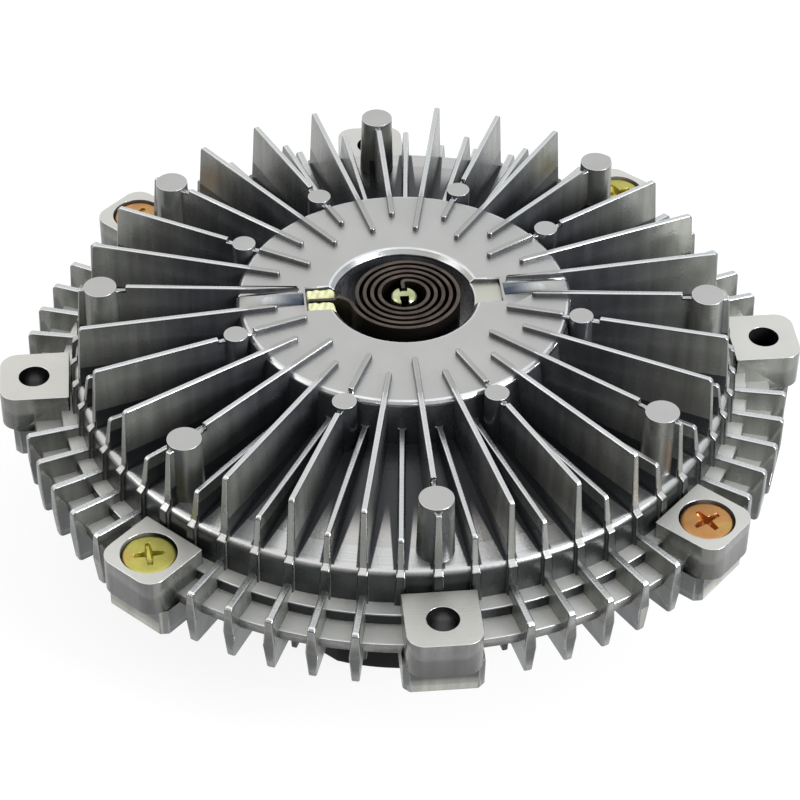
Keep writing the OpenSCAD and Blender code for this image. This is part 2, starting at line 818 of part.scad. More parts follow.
module post(r, top_r, h) {
  base = floor_at(cover_wall_r) - fin_embed;
  translate([r, 0, base])
    cylinder(r1 = top_r + post_draft, r2 = top_r, h = lug_z + h - base);
}

// Space round a post's top, where the fin that carries the post is cut down
module post_space(r, top_r, h) {
  translate([r, 0, lug_z + h - post_clear_d])
    cylinder(r = top_r * (1 + post_clear), h = plateau_h);
}

// Cover rim fin along +X: narrow top edge, widest at the joint
module cover_rim_fin() {
  top = lug_z - rim_fin_d;
  drafted_fin([[cover_wall_r - eps, split_z], [rim_fin_r, split_z], [rim_fin_r, top - cover_fin_cut],
    [rim_fin_r - cover_fin_cut, top], [cover_wall_r + wall_draft, top], [cover_wall_r - eps, top - bite]],
    rim_fin_root_w, split_z, rim_fin_tip_w, top);
}

module cover_lug() {
  translate([0, 0, split_z])
    linear_extrude(height = cover_lug_t - lug_step)
      lug_outline(cover_wall_r - bite, lug_out_r, lug_w, lug_corner_r);
  translate([0, 0, split_z])
    linear_extrude(height = cover_lug_t)
      lug_outline(lug_in_r, lug_out_r, lug_w, lug_corner_r);
}

// Solid of revolution of the cover: plateau, floor, stepped rim, and the hollow underneath
module cover_shell() {
  edge_z = lug_z + floor_out_h;
  difference() {
    turned(concat([[0, split_z], [terrace_out_r, split_z], [terrace_out_r, lug_z - terrace_out_d],
      [terrace_in_r, lug_z - terrace_out_d], [terrace_in_r, lug_z - terrace_in_d],
      [cover_wall_r + wall_draft, lug_z - terrace_in_d]],
      arc(cover_wall_r - shelf_edge, edge_z - shelf_edge, shelf_edge, 0, 90, shelf_edge_n),
      [[cover_wall_r - shelf_edge, edge_z], [plateau_r + plateau_foot, floor_at(plateau_r)],
      [plateau_r, plateau_z - plateau_edge], [plateau_r - plateau_edge, plateau_z], [0, plateau_z]]));
    ring(0, divider_r + divider_fit, split_z - eps, divider_top);
    ring(boss_r, ledge_r, split_z - eps, ceiling_z);
    ring(0, boss_r + eps, split_z - eps, boss_bottom);
    ring(boss_r, pocket_out_r, ceiling_z - eps, web_bottom);
    ring(pocket_in_r, pocket_out_r, web_bottom - eps, pocket_z);
    translate([0, 0, pit_floor])
      cylinder(r = pit_r, h = pit_depth + eps);
    translate([0, 0, plateau_z - pit_edge])
      cylinder(r1 = pit_r, r2 = pit_r + pit_edge + eps, h = pit_edge + eps);
    translate([0, 0, boss_bottom - eps])
      cylinder(r = shaft_bore_r, h = pit_floor - boss_bottom + 2 * eps);
    ring(shaft_bore_r - eps, shaft_bore_r + shaft_seal_d,
      (boss_bottom + pit_floor - seal_groove_w) / 2, (boss_bottom + pit_floor + seal_groove_w) / 2);
  }
}

// Scoop along +X that runs from a slot's end down to the plateau's edge
module scoop() {
  translate([slot_end + bite, 0, plateau_z + scoop_r - scoop_start_d])
    rotate([0, 90 + scoop_tilt, 0])
      cylinder(r = scoop_r, h = plateau_r);
}

module front_cover() {
  color("#b3b8bc")
    difference() {
      union() {
        cover_shell();
        for (i = [0:fin_n - 1])
          rotate([0, 0, fin_step * i])
            low_fin();
        difference() {
          for (i = [0:fin_n - 1])
            rotate([0, 0, fin_first + fin_step * i])
              tall_fin(i % 2 == 0 ? fin_long_r : fin_short_r);
          for (s = outer_post_steps)
            rotate([0, 0, fin_first + fin_step * s])
              post_space(outer_post_r, outer_post_top_r, outer_post_h);
          for (s = inner_post_steps)
            rotate([0, 0, fin_first + fin_step * s])
              post_space(inner_post_r, inner_post_top_r, inner_post_h);
        }
        for (s = outer_post_steps)
          rotate([0, 0, fin_first + fin_step * s])
            post(outer_post_r, outer_post_top_r, outer_post_h);
        for (s = inner_post_steps)
          rotate([0, 0, fin_first + fin_step * s])
            post(inner_post_r, inner_post_top_r, inner_post_h);
        for (k = [0:lug_n - 1])
          rotate([0, 0, lug_angle * k]) {
            cover_lug();
            for (j = [0:rim_fins_per_gap - 1])
              rotate([0, 0, rim_fin_first[k % 2] + rim_fin_pitch * j])
                cover_rim_fin();
          }
      }
      for (k = [0:lug_n - 1])
        rotate([0, 0, lug_angle * k])
          translate([lug_r, 0, split_z - eps]) {
            cylinder(r = k % 2 == 0 ? fan_hole_r : screw_r + screw_fit, h = cover_lug_t + 2 * eps);
            if (k % 2 == 1)
              translate([0, 0, cover_lug_t - screw_pocket_d + eps])
                cylinder(r = screw_pocket_r, h = screw_pocket_d + eps);
          }
      translate([-slot_end, -slot_w / 2, slot_bottom])
        cube([slot_l + bite, slot_w, plateau_z - slot_bottom + eps]);
      translate([pit_r - bite, -slot_w / 2, plateau_z - blank_slot_depth])
        cube([slot_l + bite, slot_w, blank_slot_depth + eps]);
      for (a = [0, 180])
        rotate([0, 0, a])
          scoop();
      for (i = [0:rivet_n - 1])
        rotate([0, 0, rivet_first + 360 * i / rivet_n])
          translate([rivet_circle, 0, divider_top - eps])
            cylinder(r = rivet_r, h = rivet_l + eps);
      rotate([0, 0, pump_hole_angle])
        translate([ledge_r - bite, -pump_hole_r, divider_top - eps])
          cube([rivet_circle + pump_hole_r - ledge_r + bite, 2 * pump_hole_r, pump_slot_h + eps]);
    }
}

module cover_screws() {
  head_z = lug_z - screw_pocket_d;
  color("#c9a94e")
    for (k = [1:2:lug_n - 1])
      rotate([0, 0, lug_angle * k])
        translate([lug_r, 0, 0])
          difference() {
            union() {
              translate([0, 0, split_z - body_lug_t])
                cylinder(r = screw_r, h = head_z - split_z + body_lug_t + eps);
              translate([0, 0, head_z])
                cylinder(r = screw_head_r, h = screw_head_h - screw_edge);
              translate([0, 0, head_z + screw_head_h - screw_edge])
                cylinder(r1 = screw_head_r, r2 = screw_head_r - screw_edge, h = screw_edge);
            }
            for (a = [0, 90])
              rotate([0, 0, a + cross_turn])
                translate([-cross_l / 2, -cross_w / 2, head_z + screw_head_h - cross_d])
                  cube([cross_l, cross_w, cross_d + eps]);
          }
}

// One side of the strip: tail, bend, half rings, hook, and the end in the pin's slot
function coil_side(off) = concat(
  [[-tail_end, -off]],
  arc(tail_start_x, -tail_bend_r, tail_bend_r - off, 90, tail_lead),
  arc(0, 0, coil_r + off, half_turn + tail_lead, 2 * half_turn),
  [for (k = [1:coil_half_turns - 1])
    each arc(k % 2 == 0 ? 0 : hook_r, 0, coil_r - k * hook_r + off,
      half_turn * (k + 1), half_turn * (k + 2))],
  arc(hook_r, 0, hook_turn_r + off, 0, 90),
  arc(hook_r, hook_y, hook_r + off, 90, 180),
  [[-off, hook_y], [-off, hook_end_y]]);

module bimetal_coil() {
  outer = coil_side(strip_t / 2);
  inner = coil_side(-strip_t / 2);
  color("#4a3a34")
    translate([0, 0, strip_z])
      linear_extrude(height = strip_h)
        polygon(concat(outer, [for (i = [len(inner) - 1:-1:0]) inner[i]]));
}

module coil_sealant() {
  color("#dcd9a0")
    difference() {
      translate([-slot_end, -slot_w / 2, slot_bottom])
        cube([slot_l, slot_w, sealant_top - slot_bottom]);
      translate([-tail_end, -strip_t / 2, strip_z])
        cube([tail_end, strip_t, strip_h + eps]);
      translate([0, 0, slot_bottom - eps])
        cylinder(r = pit_r, h = pit_depth + 2 * eps);
    }
}

drive_shaft();
bearing_inner_race();
bearing_outer_race();
bearing_balls();
bearing_cage();
bearing_front_seal();
bearing_rear_seal();
bearing_clip();
rear_body();
rotor();
rotor_clip();
divider_plate();
divider_rivets();
pump_wiper();
valve_arm();
valve_shaft();
valve_clip();
shaft_seal();
cover_seal();
front_cover();
cover_screws();
bimetal_coil();
coil_sealant();
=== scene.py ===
# %% [markdown]
# # Viscous fan clutch
# The clutch stands on its drive flange with the bimetal coil upwards. Its solids come from the packed
# frame, and this file gives them light, finishes and the few surfaces that solids draw too stiffly.

# %% Load the frame
import json
import math

import bmesh
import bpy
import numpy as np
from mathutils import Matrix, Vector


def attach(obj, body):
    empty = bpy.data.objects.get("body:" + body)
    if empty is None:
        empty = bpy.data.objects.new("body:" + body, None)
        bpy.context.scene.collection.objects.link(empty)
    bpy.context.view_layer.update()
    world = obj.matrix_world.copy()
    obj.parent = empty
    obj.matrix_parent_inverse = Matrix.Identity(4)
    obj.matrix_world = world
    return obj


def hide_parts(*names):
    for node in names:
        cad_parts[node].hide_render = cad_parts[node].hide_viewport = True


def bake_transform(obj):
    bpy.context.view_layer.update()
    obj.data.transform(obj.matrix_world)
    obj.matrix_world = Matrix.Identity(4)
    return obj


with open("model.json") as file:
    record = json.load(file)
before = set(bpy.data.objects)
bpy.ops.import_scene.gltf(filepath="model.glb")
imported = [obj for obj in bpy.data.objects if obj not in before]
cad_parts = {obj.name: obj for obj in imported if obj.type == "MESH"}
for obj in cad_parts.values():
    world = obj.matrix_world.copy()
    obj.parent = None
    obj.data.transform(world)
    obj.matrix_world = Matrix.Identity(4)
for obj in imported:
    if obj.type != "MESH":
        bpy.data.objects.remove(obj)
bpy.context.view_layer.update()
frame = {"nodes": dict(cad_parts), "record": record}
nodes = frame["nodes"]
scene = bpy.context.scene
scene.view_settings.view_transform = "Standard"
MM = 0.001
print("nodes in the frame:", len(nodes))

# %% [markdown]
# ## Camera
# The photograph was taken with a long lens from about 40 degrees above the bench. Lug centres, posts and
# fin ends were matched to find the lens, the distance and the tilt, so the camera is set from those
# numbers. A camera aimed by eye would leave every fin a little off.

# %% Camera
AIM = Vector((0, 0, 52 * MM))


def photo_camera(azimuth, elevation, roll, distance, lens, shift):
    """Camera on a sphere round AIM. Back is the direction from AIM to the camera, right lies level
    before the roll, and up is back x right; the roll turns right and up about back."""
    a, e, t = (math.radians(v) for v in (azimuth, elevation, roll))
    back = Vector((math.sin(a) * math.cos(e), -math.cos(a) * math.cos(e), math.sin(e)))
    level = Vector((math.cos(a), math.sin(a), 0))
    rise = back.cross(level)
    right = level * math.cos(t) + rise * math.sin(t)
    up = rise * math.cos(t) - level * math.sin(t)
    data = bpy.data.cameras.new("camera")
    data.lens, data.sensor_width = lens, 36
    data.shift_x, data.shift_y = shift
    data.clip_start, data.clip_end = 0.01, 20
    camera = bpy.data.objects.new("camera", data)
    turned = Matrix((right, up, back)).transposed().to_4x4()
    camera.matrix_world = Matrix.Translation(AIM + back * distance) @ turned
    scene.collection.objects.link(camera)
    scene.camera = camera
    return camera


camera = photo_camera(azimuth=-6.116, elevation=39.886, roll=0.824, distance=0.599, lens=116.22,
                      shift=(-0.0039, -0.0547))
print("camera at", [round(v, 3) for v in camera.location])

# %% [markdown]
# ## Short hands for node trees
# Every finish below is a small network of shader nodes. A few helpers keep those networks readable: one
# adds a node with its settings and sockets, others do arithmetic, blend two colours or map a range, and
# two start a node group and place it.

# %% Node helpers
def put(tree, kind, settings=None, **sockets):
    """Adds one shader node. Sockets are given by name, with _ for a space, or as i0, i1 by number;
    a value is set on the socket and an output is linked to it."""
    node = tree.nodes.new("ShaderNode" + kind)
    for name, value in (settings or {}).items():
        setattr(node, name, value)
    for name, value in sockets.items():
        by_number = name[0] == "i" and name[1:].isdigit()
        socket = node.inputs[int(name[1:])] if by_number else node.inputs[name.replace("_", " ")]
        if isinstance(value, bpy.types.NodeSocket):
            tree.links.new(value, socket)
        else:
            socket.default_value = value
    return node


def calc(tree, operation, a, b=0.0, c=0.0):
    """Output of one Math node."""
    return put(tree, "Math", {"operation": operation}, i0=a, i1=b, i2=c).outputs[0]


def sum_of_products(tree, a, b, c, d):
    """Output of a x b + c x d."""
    return calc(tree, "MULTIPLY_ADD", a, b, calc(tree, "MULTIPLY", c, d))


def blend_colour(tree, factor, a, b):
    """Colour a where factor is 0 and colour b where it is 1."""
    node = put(tree, "Mix", {"data_type": "RGBA"}, i0=factor)
    for number, value in ((6, a), (7, b)):
        if isinstance(value, bpy.types.NodeSocket):
            tree.links.new(value, node.inputs[number])
        else:
            node.inputs[number].default_value = (*value, 1)
    return node.outputs[2]


def spread(tree, value, low, high, to_low=0.0, to_high=1.0, smooth=True):
    """Maps low..high to to_low..to_high, held at both ends."""
    kind = "SMOOTHSTEP" if smooth else "LINEAR"
    node = put(tree, "MapRange", {"interpolation_type": kind}, Value=value, From_Min=low, From_Max=high,
               To_Min=to_low, To_Max=to_high)
    return node.outputs[0]


def new_group(name, inputs, outputs):
    """An empty node group with named value sockets; returns its tree, its inputs and its output node."""
    tree = bpy.data.node_groups.new(name, "ShaderNodeTree")
    for socket, value in inputs.items():
        made = tree.interface.new_socket(socket, in_out="INPUT", socket_type="NodeSocketFloat")
        made.default_value = value
    for socket, kind in outputs.items():
        tree.interface.new_socket(socket, in_out="OUTPUT", socket_type="NodeSocket" + kind)
    source = tree.nodes.new("NodeGroupInput")
    return tree, source.outputs, tree.nodes.new("NodeGroupOutput")


def use(tree, group, **values):
    """Places a node group in a material with its own values."""
    node = tree.nodes.new("ShaderNodeGroup")
    node.node_tree = group
    for name, value in values.items():
        socket = node.inputs[name.replace("_", " ")]
        if isinstance(value, bpy.types.NodeSocket):
            tree.links.new(value, socket)
        else:
            socket.default_value = value
    return node.outputs


print("node helpers ready")

# %% [markdown]
# ## Floor
# The clutch stands on a white bench that fills the picture. A white sheet lit hard enough to look white
# would also light the fins from below, so the floor is a dull grey that takes the clutch's shadow and adds
# its own white only for rays that look at it.

# %% Floor
FLOOR_HALF, FLOOR_GLOW = 4.0, 0.84


def floor_finish():
    """White floor: a diffuse part that takes shadows and a glow for rays that see it."""
    material = bpy.data.materials.new("bench_white")
    material.use_nodes = True
    tree = material.node_tree
    tree.nodes.clear()
    path = put(tree, "LightPath").outputs
    seen = calc(tree, "MAXIMUM", calc(tree, "MAXIMUM", path["Is Camera Ray"], path["Is Glossy Ray"]),
                path["Is Transmission Ray"])
    matt = put(tree, "BsdfDiffuse", Color=(0.2, 0.2, 0.2, 1))
    glow = put(tree, "Emission", Color=(1, 1, 1, 1), Strength=calc(tree, "MULTIPLY", seen, FLOOR_GLOW))
    both = put(tree, "AddShader", i0=matt.outputs[0], i1=glow.outputs[0])
    put(tree, "OutputMaterial", Surface=both.outputs[0])
    return material


floor_corners = [(x * FLOOR_HALF, y * FLOOR_HALF, 0) for x, y in ((-1, -1), (1, -1), (1, 1), (-1, 1))]
floor_mesh = bpy.data.meshes.new("floor")
floor_mesh.from_pydata(floor_corners, [], [(0, 1, 2, 3)])
floor_mesh.materials.append(floor_finish())
floor = bpy.data.objects.new("floor", floor_mesh)
scene.collection.objects.link(floor)
print("floor", 2 * FLOOR_HALF, "m wide")

# %% [markdown]
# ## Light
# In the photo the level faces shine and the walls that face the lens stay dark between the fins. That is a
# bright sweep behind and above the clutch with a dim room in front of it, a little warmer on the left. A
# world that brightens backwards and upwards gives this from every side, and two softboxes draw the small
# highlights, the stronger one from the front right.

# %% Sky and softboxes
def studio_sky(front, back, zenith, warm, cool):
    """World whose level rises with the height of the ray. Front and back are (horizon, 30 degrees) levels,
    mixed by how far the ray runs backwards, and both end at the zenith level. The tint goes from warm on
    the left to cool on the right."""
    world = bpy.data.worlds.new("studio")
    world.use_nodes = True
    tree = world.node_tree
    tree.nodes.clear()
    ray = put(tree, "SeparateXYZ", Vector=put(tree, "TexCoord").outputs["Generated"]).outputs
    levels = []
    for horizon, middle in (front, back):
        low = spread(tree, ray["Z"], 0.03, 0.5, horizon, middle)
        levels.append(calc(tree, "ADD", low, spread(tree, ray["Z"], 0.5, 0.95, 0.0, zenith - middle)))
    behind = spread(tree, ray["Y"], -0.35, 0.45)
    level = calc(tree, "MULTIPLY_ADD", calc(tree, "SUBTRACT", levels[1], levels[0]), behind, levels[0])
    tint = blend_colour(tree, spread(tree, ray["X"], -0.8, 0.8), warm, cool)
    sky = put(tree, "Background", Color=tint, Strength=level)
    put(tree, "OutputWorld", Surface=sky.outputs[0])
    scene.world = world


def softbox(name, place, size, watts):
    """Square area lamp at a place, turned to AIM."""
    data = bpy.data.lights.new(name, "AREA")
    data.shape, data.size, data.energy = "SQUARE", size, watts
    lamp = bpy.data.objects.new(name, data)
    lamp.location = place
    lamp.rotation_euler = (AIM - Vector(place)).to_track_quat("-Z", "Y").to_euler()
    scene.collection.objects.link(lamp)


studio_sky(front=(0.05, 0.28), back=(0.75, 0.95), zenith=1.2, warm=(1.0, 0.975, 0.94), cool=(0.93, 0.97, 1.0))
softbox("left_box", (-0.95, -0.1, 0.6), size=0.5, watts=2)
softbox("right_box", (0.85, -0.65, 0.6), size=0.5, watts=15)
print("sky and two softboxes")

# %% [markdown]
# ## Shared effects
# Several finishes show the same small things: the mottled grain of a die casting, rings left by a lathe or
# a die, faint scuffs from handling. Each is a node group that reads Object coordinates and puts out masks
# and heights, so each finish can set its own scale.

# %% Shared effects
def cast_grain_group():
    """Tone: soft mottling of several sizes. Grain: fine pebbled height."""
    tree, given, out = new_group("cast_grain", {"Scale": 60.0}, {"Tone": "Float", "Grain": "Float"})
    place = put(tree, "TexCoord").outputs["Object"]
    tone = put(tree, "TexNoise", Vector=place, Scale=given["Scale"], Detail=6.0, Roughness=0.6)
    finer = calc(tree, "MULTIPLY", given["Scale"], 22.0)
    fine = put(tree, "TexNoise", Vector=place, Scale=finer, Detail=3.0)
    tree.links.new(spread(tree, tone.outputs[0], 0.3, 0.7), out.inputs["Tone"])
    tree.links.new(fine.outputs[0], out.inputs["Grain"])
    return tree


def where_group():
    """Up: 1 where the surface looks up, 0 where it is steep. Out: 1 where it looks away from the axis.
    Radius and Height, in metres, and Turn, in radians, give the place."""
    outputs = ("Up", "Out", "Radius", "Height", "Turn")
    tree, _, out = new_group("where", {}, {name: "Float" for name in outputs})
    facing = put(tree, "SeparateXYZ", Vector=put(tree, "NewGeometry").outputs["Normal"]).outputs
    place = put(tree, "SeparateXYZ", Vector=put(tree, "TexCoord").outputs["Object"]).outputs
    radius = calc(tree, "SQRT", sum_of_products(tree, place["X"], place["X"], place["Y"], place["Y"]))
    outward = sum_of_products(tree, place["X"], facing["X"], place["Y"], facing["Y"])
    tree.links.new(spread(tree, facing["Z"], 0.3, 0.9), out.inputs["Up"])
    tree.links.new(spread(tree, calc(tree, "DIVIDE", outward, radius), 0.6, 0.9), out.inputs["Out"])
    tree.links.new(radius, out.inputs["Radius"])
    tree.links.new(place["Z"], out.inputs["Height"])
    tree.links.new(calc(tree, "ARCTAN2", place["Y"], place["X"]), out.inputs["Turn"])
    return tree


def ring_marks_group(place_group):
    """Rings about the Z axis: noise along the radius, carried up steep faces by the height."""
    tree, given, out = new_group("ring_marks", {"Rings per metre": 3000.0},
                                 {"Tone": "Float", "Height": "Float"})
    place = use(tree, place_group)
    along = calc(tree, "MULTIPLY_ADD", place["Height"], 0.8, place["Radius"])
    rings = put(tree, "TexNoise", {"noise_dimensions": "1D"},
                W=calc(tree, "MULTIPLY", along, given["Rings per metre"]), Scale=1.0, Detail=2.0)
    tree.links.new(spread(tree, rings.outputs[0], 0.3, 0.7), out.inputs["Tone"])
    tree.links.new(rings.outputs[0], out.inputs["Height"])
    return tree


def drag_marks_group():
    """Tone: streaks drawn up a wall as the casting leaves its die, from noise stretched along Z."""
    tree, given, out = new_group("drag_marks", {"Scale": 420.0}, {"Tone": "Float"})
    place = put(tree, "TexCoord").outputs["Object"]
    drawn = put(tree, "Mapping", Vector=place, Scale=(1, 1, 0.06)).outputs[0]
    streaks = put(tree, "TexNoise", Vector=drawn, Scale=given["Scale"], Detail=3.0)
    tree.links.new(spread(tree, streaks.outputs[0], 0.3, 0.7), out.inputs["Tone"])
    return tree


def scuffs_group():
    """Mask of short thin scratches: two stretched noises cut off near their middle value."""
    tree, given, out = new_group("scuffs", {"Scale": 40.0, "Width": 0.012}, {"Mask": "Float"})
    place = put(tree, "TexCoord").outputs["Object"]
    masks = []
    for turn, shape in ((0.6, (1, 9, 1)), (-0.9, (8, 1, 1))):
        turned = put(tree, "Mapping", Vector=place, Rotation=(0, 0, turn), Scale=shape).outputs[0]
        noise = put(tree, "TexNoise", Vector=turned, Scale=given["Scale"], Detail=2.0).outputs[0]
        apart = calc(tree, "ABSOLUTE", calc(tree, "SUBTRACT", noise, 0.5))
        masks.append(spread(tree, apart, 0.0, given["Width"], 1.0, 0.0))
    patches = put(tree, "TexNoise", Vector=place, Scale=given["Scale"], Detail=1.0).outputs[0]
    either = calc(tree, "MAXIMUM", masks[0], masks[1])
    tree.links.new(calc(tree, "MULTIPLY", either, spread(tree, patches, 0.5, 0.65)), out.inputs["Mask"])
    return tree


cast_grain, where, scuffs = cast_grain_group(), where_group(), scuffs_group()
ring_marks, drag_marks = ring_marks_group(where), drag_marks_group()
print("groups:", [g.name for g in bpy.data.node_groups])

# %% [markdown]
# ## Castings
# Cover and body are die castings. Steep walls keep a dark skin from the die, and part of their darkness is
# painted shade; level faces are paler and show fine rings, and plateau, lugs and post tops are milled. Painted
# shade also darkens the walls towards the plateau, the walls under the rims, the sides of the outer posts, the
# lug bores, the scoops and the corners of the floor between the fins. One finish mixes these by the direction,
# the height and the radius of the surface, since a painted map would have to be redrawn for each fin.

# %% Casting finish
RELIEF = 0.2 * MM
LUG_CIRCLE, BORE_R = 85.0, 3.6
# where the painted shade in the floor's corners and on the floor towards the plateau lies
CORNER_R, CORNER_W, CORNER_SOFT, FLOOR_CLEAR_R = (56, 74), (2.6, 1.4), 0.3, (56, 67)
FLOOR_R, FLOOR_Z = (38, 74.5), (53, 61)
# painted shade: steep faces darken towards the plateau, to these shares of the wall colour at the inner radius
DEEP_SHADE_R, DEEP_SHADE_SHARE = (46, 74), (0.35, 0.35, 0.42)
# painted shade colours: inside the lug bores, in the floor's corners between the fins, and on sideways edges
# along the shelf
BORE_SHADE, CORNER_SHADE, SHELF_SIDE_SHADE = (0.03, 0.03, 0.03), (0.05, 0.054, 0.06), (0.06, 0.062, 0.065)
PLATEAU_FINS_R, SHELF_R, SHELF_TOP = (20, 36), (71, 78), 58


def begin(name, metal=1.0):
    """A new material with a Principled shader and a bump node already linked to its normal."""
    material = bpy.data.materials.new(name)
    material.use_nodes = True
    tree = material.node_tree
    shader = tree.nodes["Principled BSDF"]
    shader.inputs["Metallic"].default_value = metal
    bump = put(tree, "Bump", Distance=RELIEF)
    tree.links.new(bump.outputs[0], shader.inputs["Normal"])
    return material, tree, shader, bump


def darken(tree, colour, mask, low):
    """The colour times low where the mask is 0, unchanged where it is 1."""
    level = spread(tree, mask, 0.0, 1.0, low, 1.0, smooth=False)
    grey = put(tree, "CombineColor", Red=level, Green=level, Blue=level).outputs[0]
    node = put(tree, "Mix", {"data_type": "RGBA", "blend_type": "MULTIPLY"}, i0=1.0, i6=colour, i7=grey)
    return node.outputs[2]


def between(tree, value, low, high):
    """1 where the value lies between low and high, both in millimetres, else 0."""
    above, below = calc(tree, "GREATER_THAN", value, low * MM), calc(tree, "LESS_THAN", value, high * MM)
    return calc(tree, "MULTIPLY", above, below)


def from_nearest(tree, place, step):
    """Angle from the nearest multiple of a step: step times (fraction(turn / step + 0.5) - 0.5)."""
    fraction = calc(tree, "FRACT", calc(tree, "MULTIPLY_ADD", place["Turn"], 1 / step, 0.5))
    return calc(tree, "MULTIPLY", calc(tree, "SUBTRACT", fraction, 0.5), step)


def open_floor(tree, place, fin_step):
    """1 on the open floor between fins, 0 in the corners at their feet, which widen towards the plateau; the
    corners take painted shade. The distance to the nearest fin is the radius times the angle to the nearest
    multiple of fin_step."""
    radius = place["Radius"]
    apart = calc(tree, "MULTIPLY", calc(tree, "ABSOLUTE", from_nearest(tree, place, fin_step)), radius)
    limits = [v * MM for v in CORNER_R + CORNER_W]
    corner = spread(tree, radius, *limits, smooth=False)
    clear = spread(tree, calc(tree, "SUBTRACT", apart, corner), 0.0, CORNER_SOFT * MM)
    return calc(tree, "MULTIPLY", clear, spread(tree, radius, *(v * MM for v in FLOOR_CLEAR_R)))


def bore_wall(tree, place):
    """1 inside the four plain lug bores, where painted shade goes, told by the distance from the nearest
    quarter's lug centre.
    """
    angle = from_nearest(tree, place, math.pi / 2)
    outwards = calc(tree, "MULTIPLY", place["Radius"], calc(tree, "COSINE", angle))
    along = calc(tree, "SUBTRACT", outwards, LUG_CIRCLE * MM)
    across = calc(tree, "MULTIPLY", place["Radius"], calc(tree, "SINE", angle))
    squares = sum_of_products(tree, along, along, across, across)
    return calc(tree, "LESS_THAN", calc(tree, "SQRT", squares), BORE_R * MM)


def casting(name, wall, ends, level, patches, rough, fin_step=None):
    """Die-cast aluminium. Steep faces take the dull wall colour, partly the casting's skin and partly painted
    shade, with drag marks, and painted shade darkens them towards the plateau; level faces take the level colour
    with fine rings. Inside the lug bores the colour is painted shade. Ends is a list of (radius, height, colour)
    for faces that look outwards beyond that radius and above that height; some of these colours are painted
    shade. Patches is a list of (heights, radii, colour, roughness) for level faces that were milled or that lie
    in a recess, and the scoops' colour is painted shade; a patch fades out between its last two radii. All
    places are in millimetres. With a fin_step, painted shade darkens the corners of the floor between the fins
    and the floor towards the plateau, where the surface is also less metallic."""
    material, tree, shader, bump = begin(name)
    grain = use(tree, cast_grain, Scale=70.0)
    rings = use(tree, ring_marks, Rings_per_metre=2600.0)
    drag = use(tree, drag_marks)
    place = use(tree, where)
    # painted shade: steep faces darken towards the plateau
    deep_shade = [share * c for share, c in zip(DEEP_SHADE_SHARE, wall)]
    steep = blend_colour(tree, spread(tree, place["Radius"], *(v * MM for v in DEEP_SHADE_R)), deep_shade, wall)
    for radius, height, colour in ends:
        beyond = spread(tree, place["Radius"], (radius - 0.1) * MM, (radius + 0.1) * MM)
        above = calc(tree, "GREATER_THAN", place["Height"], height * MM)
        here = calc(tree, "MULTIPLY", place["Out"], calc(tree, "MULTIPLY", beyond, above))
        steep = blend_colour(tree, here, steep, colour)
    # painted shade inside the lug bores
    steep = blend_colour(tree, bore_wall(tree, place), steep, BORE_SHADE)
    steep = darken(tree, darken(tree, steep, drag["Tone"], 0.72), grain["Tone"], 0.8)
    flat = darken(tree, (*level, 1), rings["Tone"], 0.86)
    # the wall colour on steep faces is partly the casting's skin and partly painted shade
    skin = blend_colour(tree, place["Up"], steep, flat)
    gloss = calc(tree, "MULTIPLY_ADD", grain["Tone"], 0.06, rough)
    for (low, high), (inner, full, outer), colour, patch_rough in patches:
        level_here = calc(tree, "MULTIPLY", place["Up"], between(tree, place["Height"], low, high))
        within = calc(tree, "MULTIPLY", calc(tree, "GREATER_THAN", place["Radius"], inner * MM),
                      spread(tree, place["Radius"], full * MM, outer * MM, 1.0, 0.0))
        here = calc(tree, "MULTIPLY", level_here, within)
        skin = blend_colour(tree, here, skin, colour)
        gloss = calc(tree, "MULTIPLY_ADD", calc(tree, "SUBTRACT", patch_rough, gloss), here, gloss)
    bright = place["Up"]
    # painted shade: the floor's corners between the fins and the floor towards the plateau are drawn dark and
    # less metallic
    if fin_step:
        inside = calc(tree, "MULTIPLY", between(tree, place["Radius"], *FLOOR_R),
                      calc(tree, "SUBTRACT", 1.0, place["Out"]))
        on_floor = calc(tree, "MULTIPLY", between(tree, place["Height"], *FLOOR_Z), inside)
        closed = calc(tree, "SUBTRACT", 1.0, open_floor(tree, place, fin_step))
        corner = calc(tree, "MULTIPLY", on_floor, closed)
        skin = blend_colour(tree, corner, skin, CORNER_SHADE)
        bright = calc(tree, "MULTIPLY", bright, calc(tree, "SUBTRACT", 1.0, corner))
    tree.links.new(spread(tree, bright, 0.0, 1.0, 0.45, 1.0), shader.inputs["Metallic"])
    tree.links.new(darken(tree, skin, grain["Tone"], 0.93), shader.inputs["Base Color"])
    tree.links.new(gloss, shader.inputs["Roughness"])
    height = calc(tree, "MULTIPLY_ADD", rings["Height"], place["Up"], grain["Grain"])
    tree.links.new(height, bump.inputs["Height"])
    bump.inputs["Strength"].default_value = 0.15
    return material


def edge_highlight_finish(name, worn_and_lit, duller, shaded, rough):
    """Rounded edge of a casting: a painted highlight on top of wear, pale where it looks up and duller on the
    plateau's fins and along the shelf; the shaded colour, a painted shade, where it looks sideways, darker still
    along the shelf; all broken up by the grain."""
    material, tree, shader, bump = begin(name)
    grain = use(tree, cast_grain, Scale=160.0)
    place = use(tree, where)
    on_plateau = between(tree, place["Radius"], *PLATEAU_FINS_R)
    on_shelf = calc(tree, "MULTIPLY", between(tree, place["Radius"], *SHELF_R),
                    calc(tree, "LESS_THAN", place["Height"], SHELF_TOP * MM))
    less = calc(tree, "MAXIMUM", on_plateau, on_shelf)
    # painted shade on edges that look sideways, darkest along the shelf; painted highlight, partly wear, on
    # edges that look up
    sideways = blend_colour(tree, on_shelf, shaded, SHELF_SIDE_SHADE)
    colour = blend_colour(tree, place["Up"], sideways, blend_colour(tree, less, worn_and_lit, duller))
    tree.links.new(darken(tree, colour, grain["Tone"], 0.8), shader.inputs["Base Color"])
    tree.links.new(spread(tree, grain["Tone"], 0.0, 1.0, rough + 0.1, rough), shader.inputs["Roughness"])
    tree.links.new(grain["Grain"], bump.inputs["Height"])
    bump.inputs["Strength"].default_value = 0.1
    return material


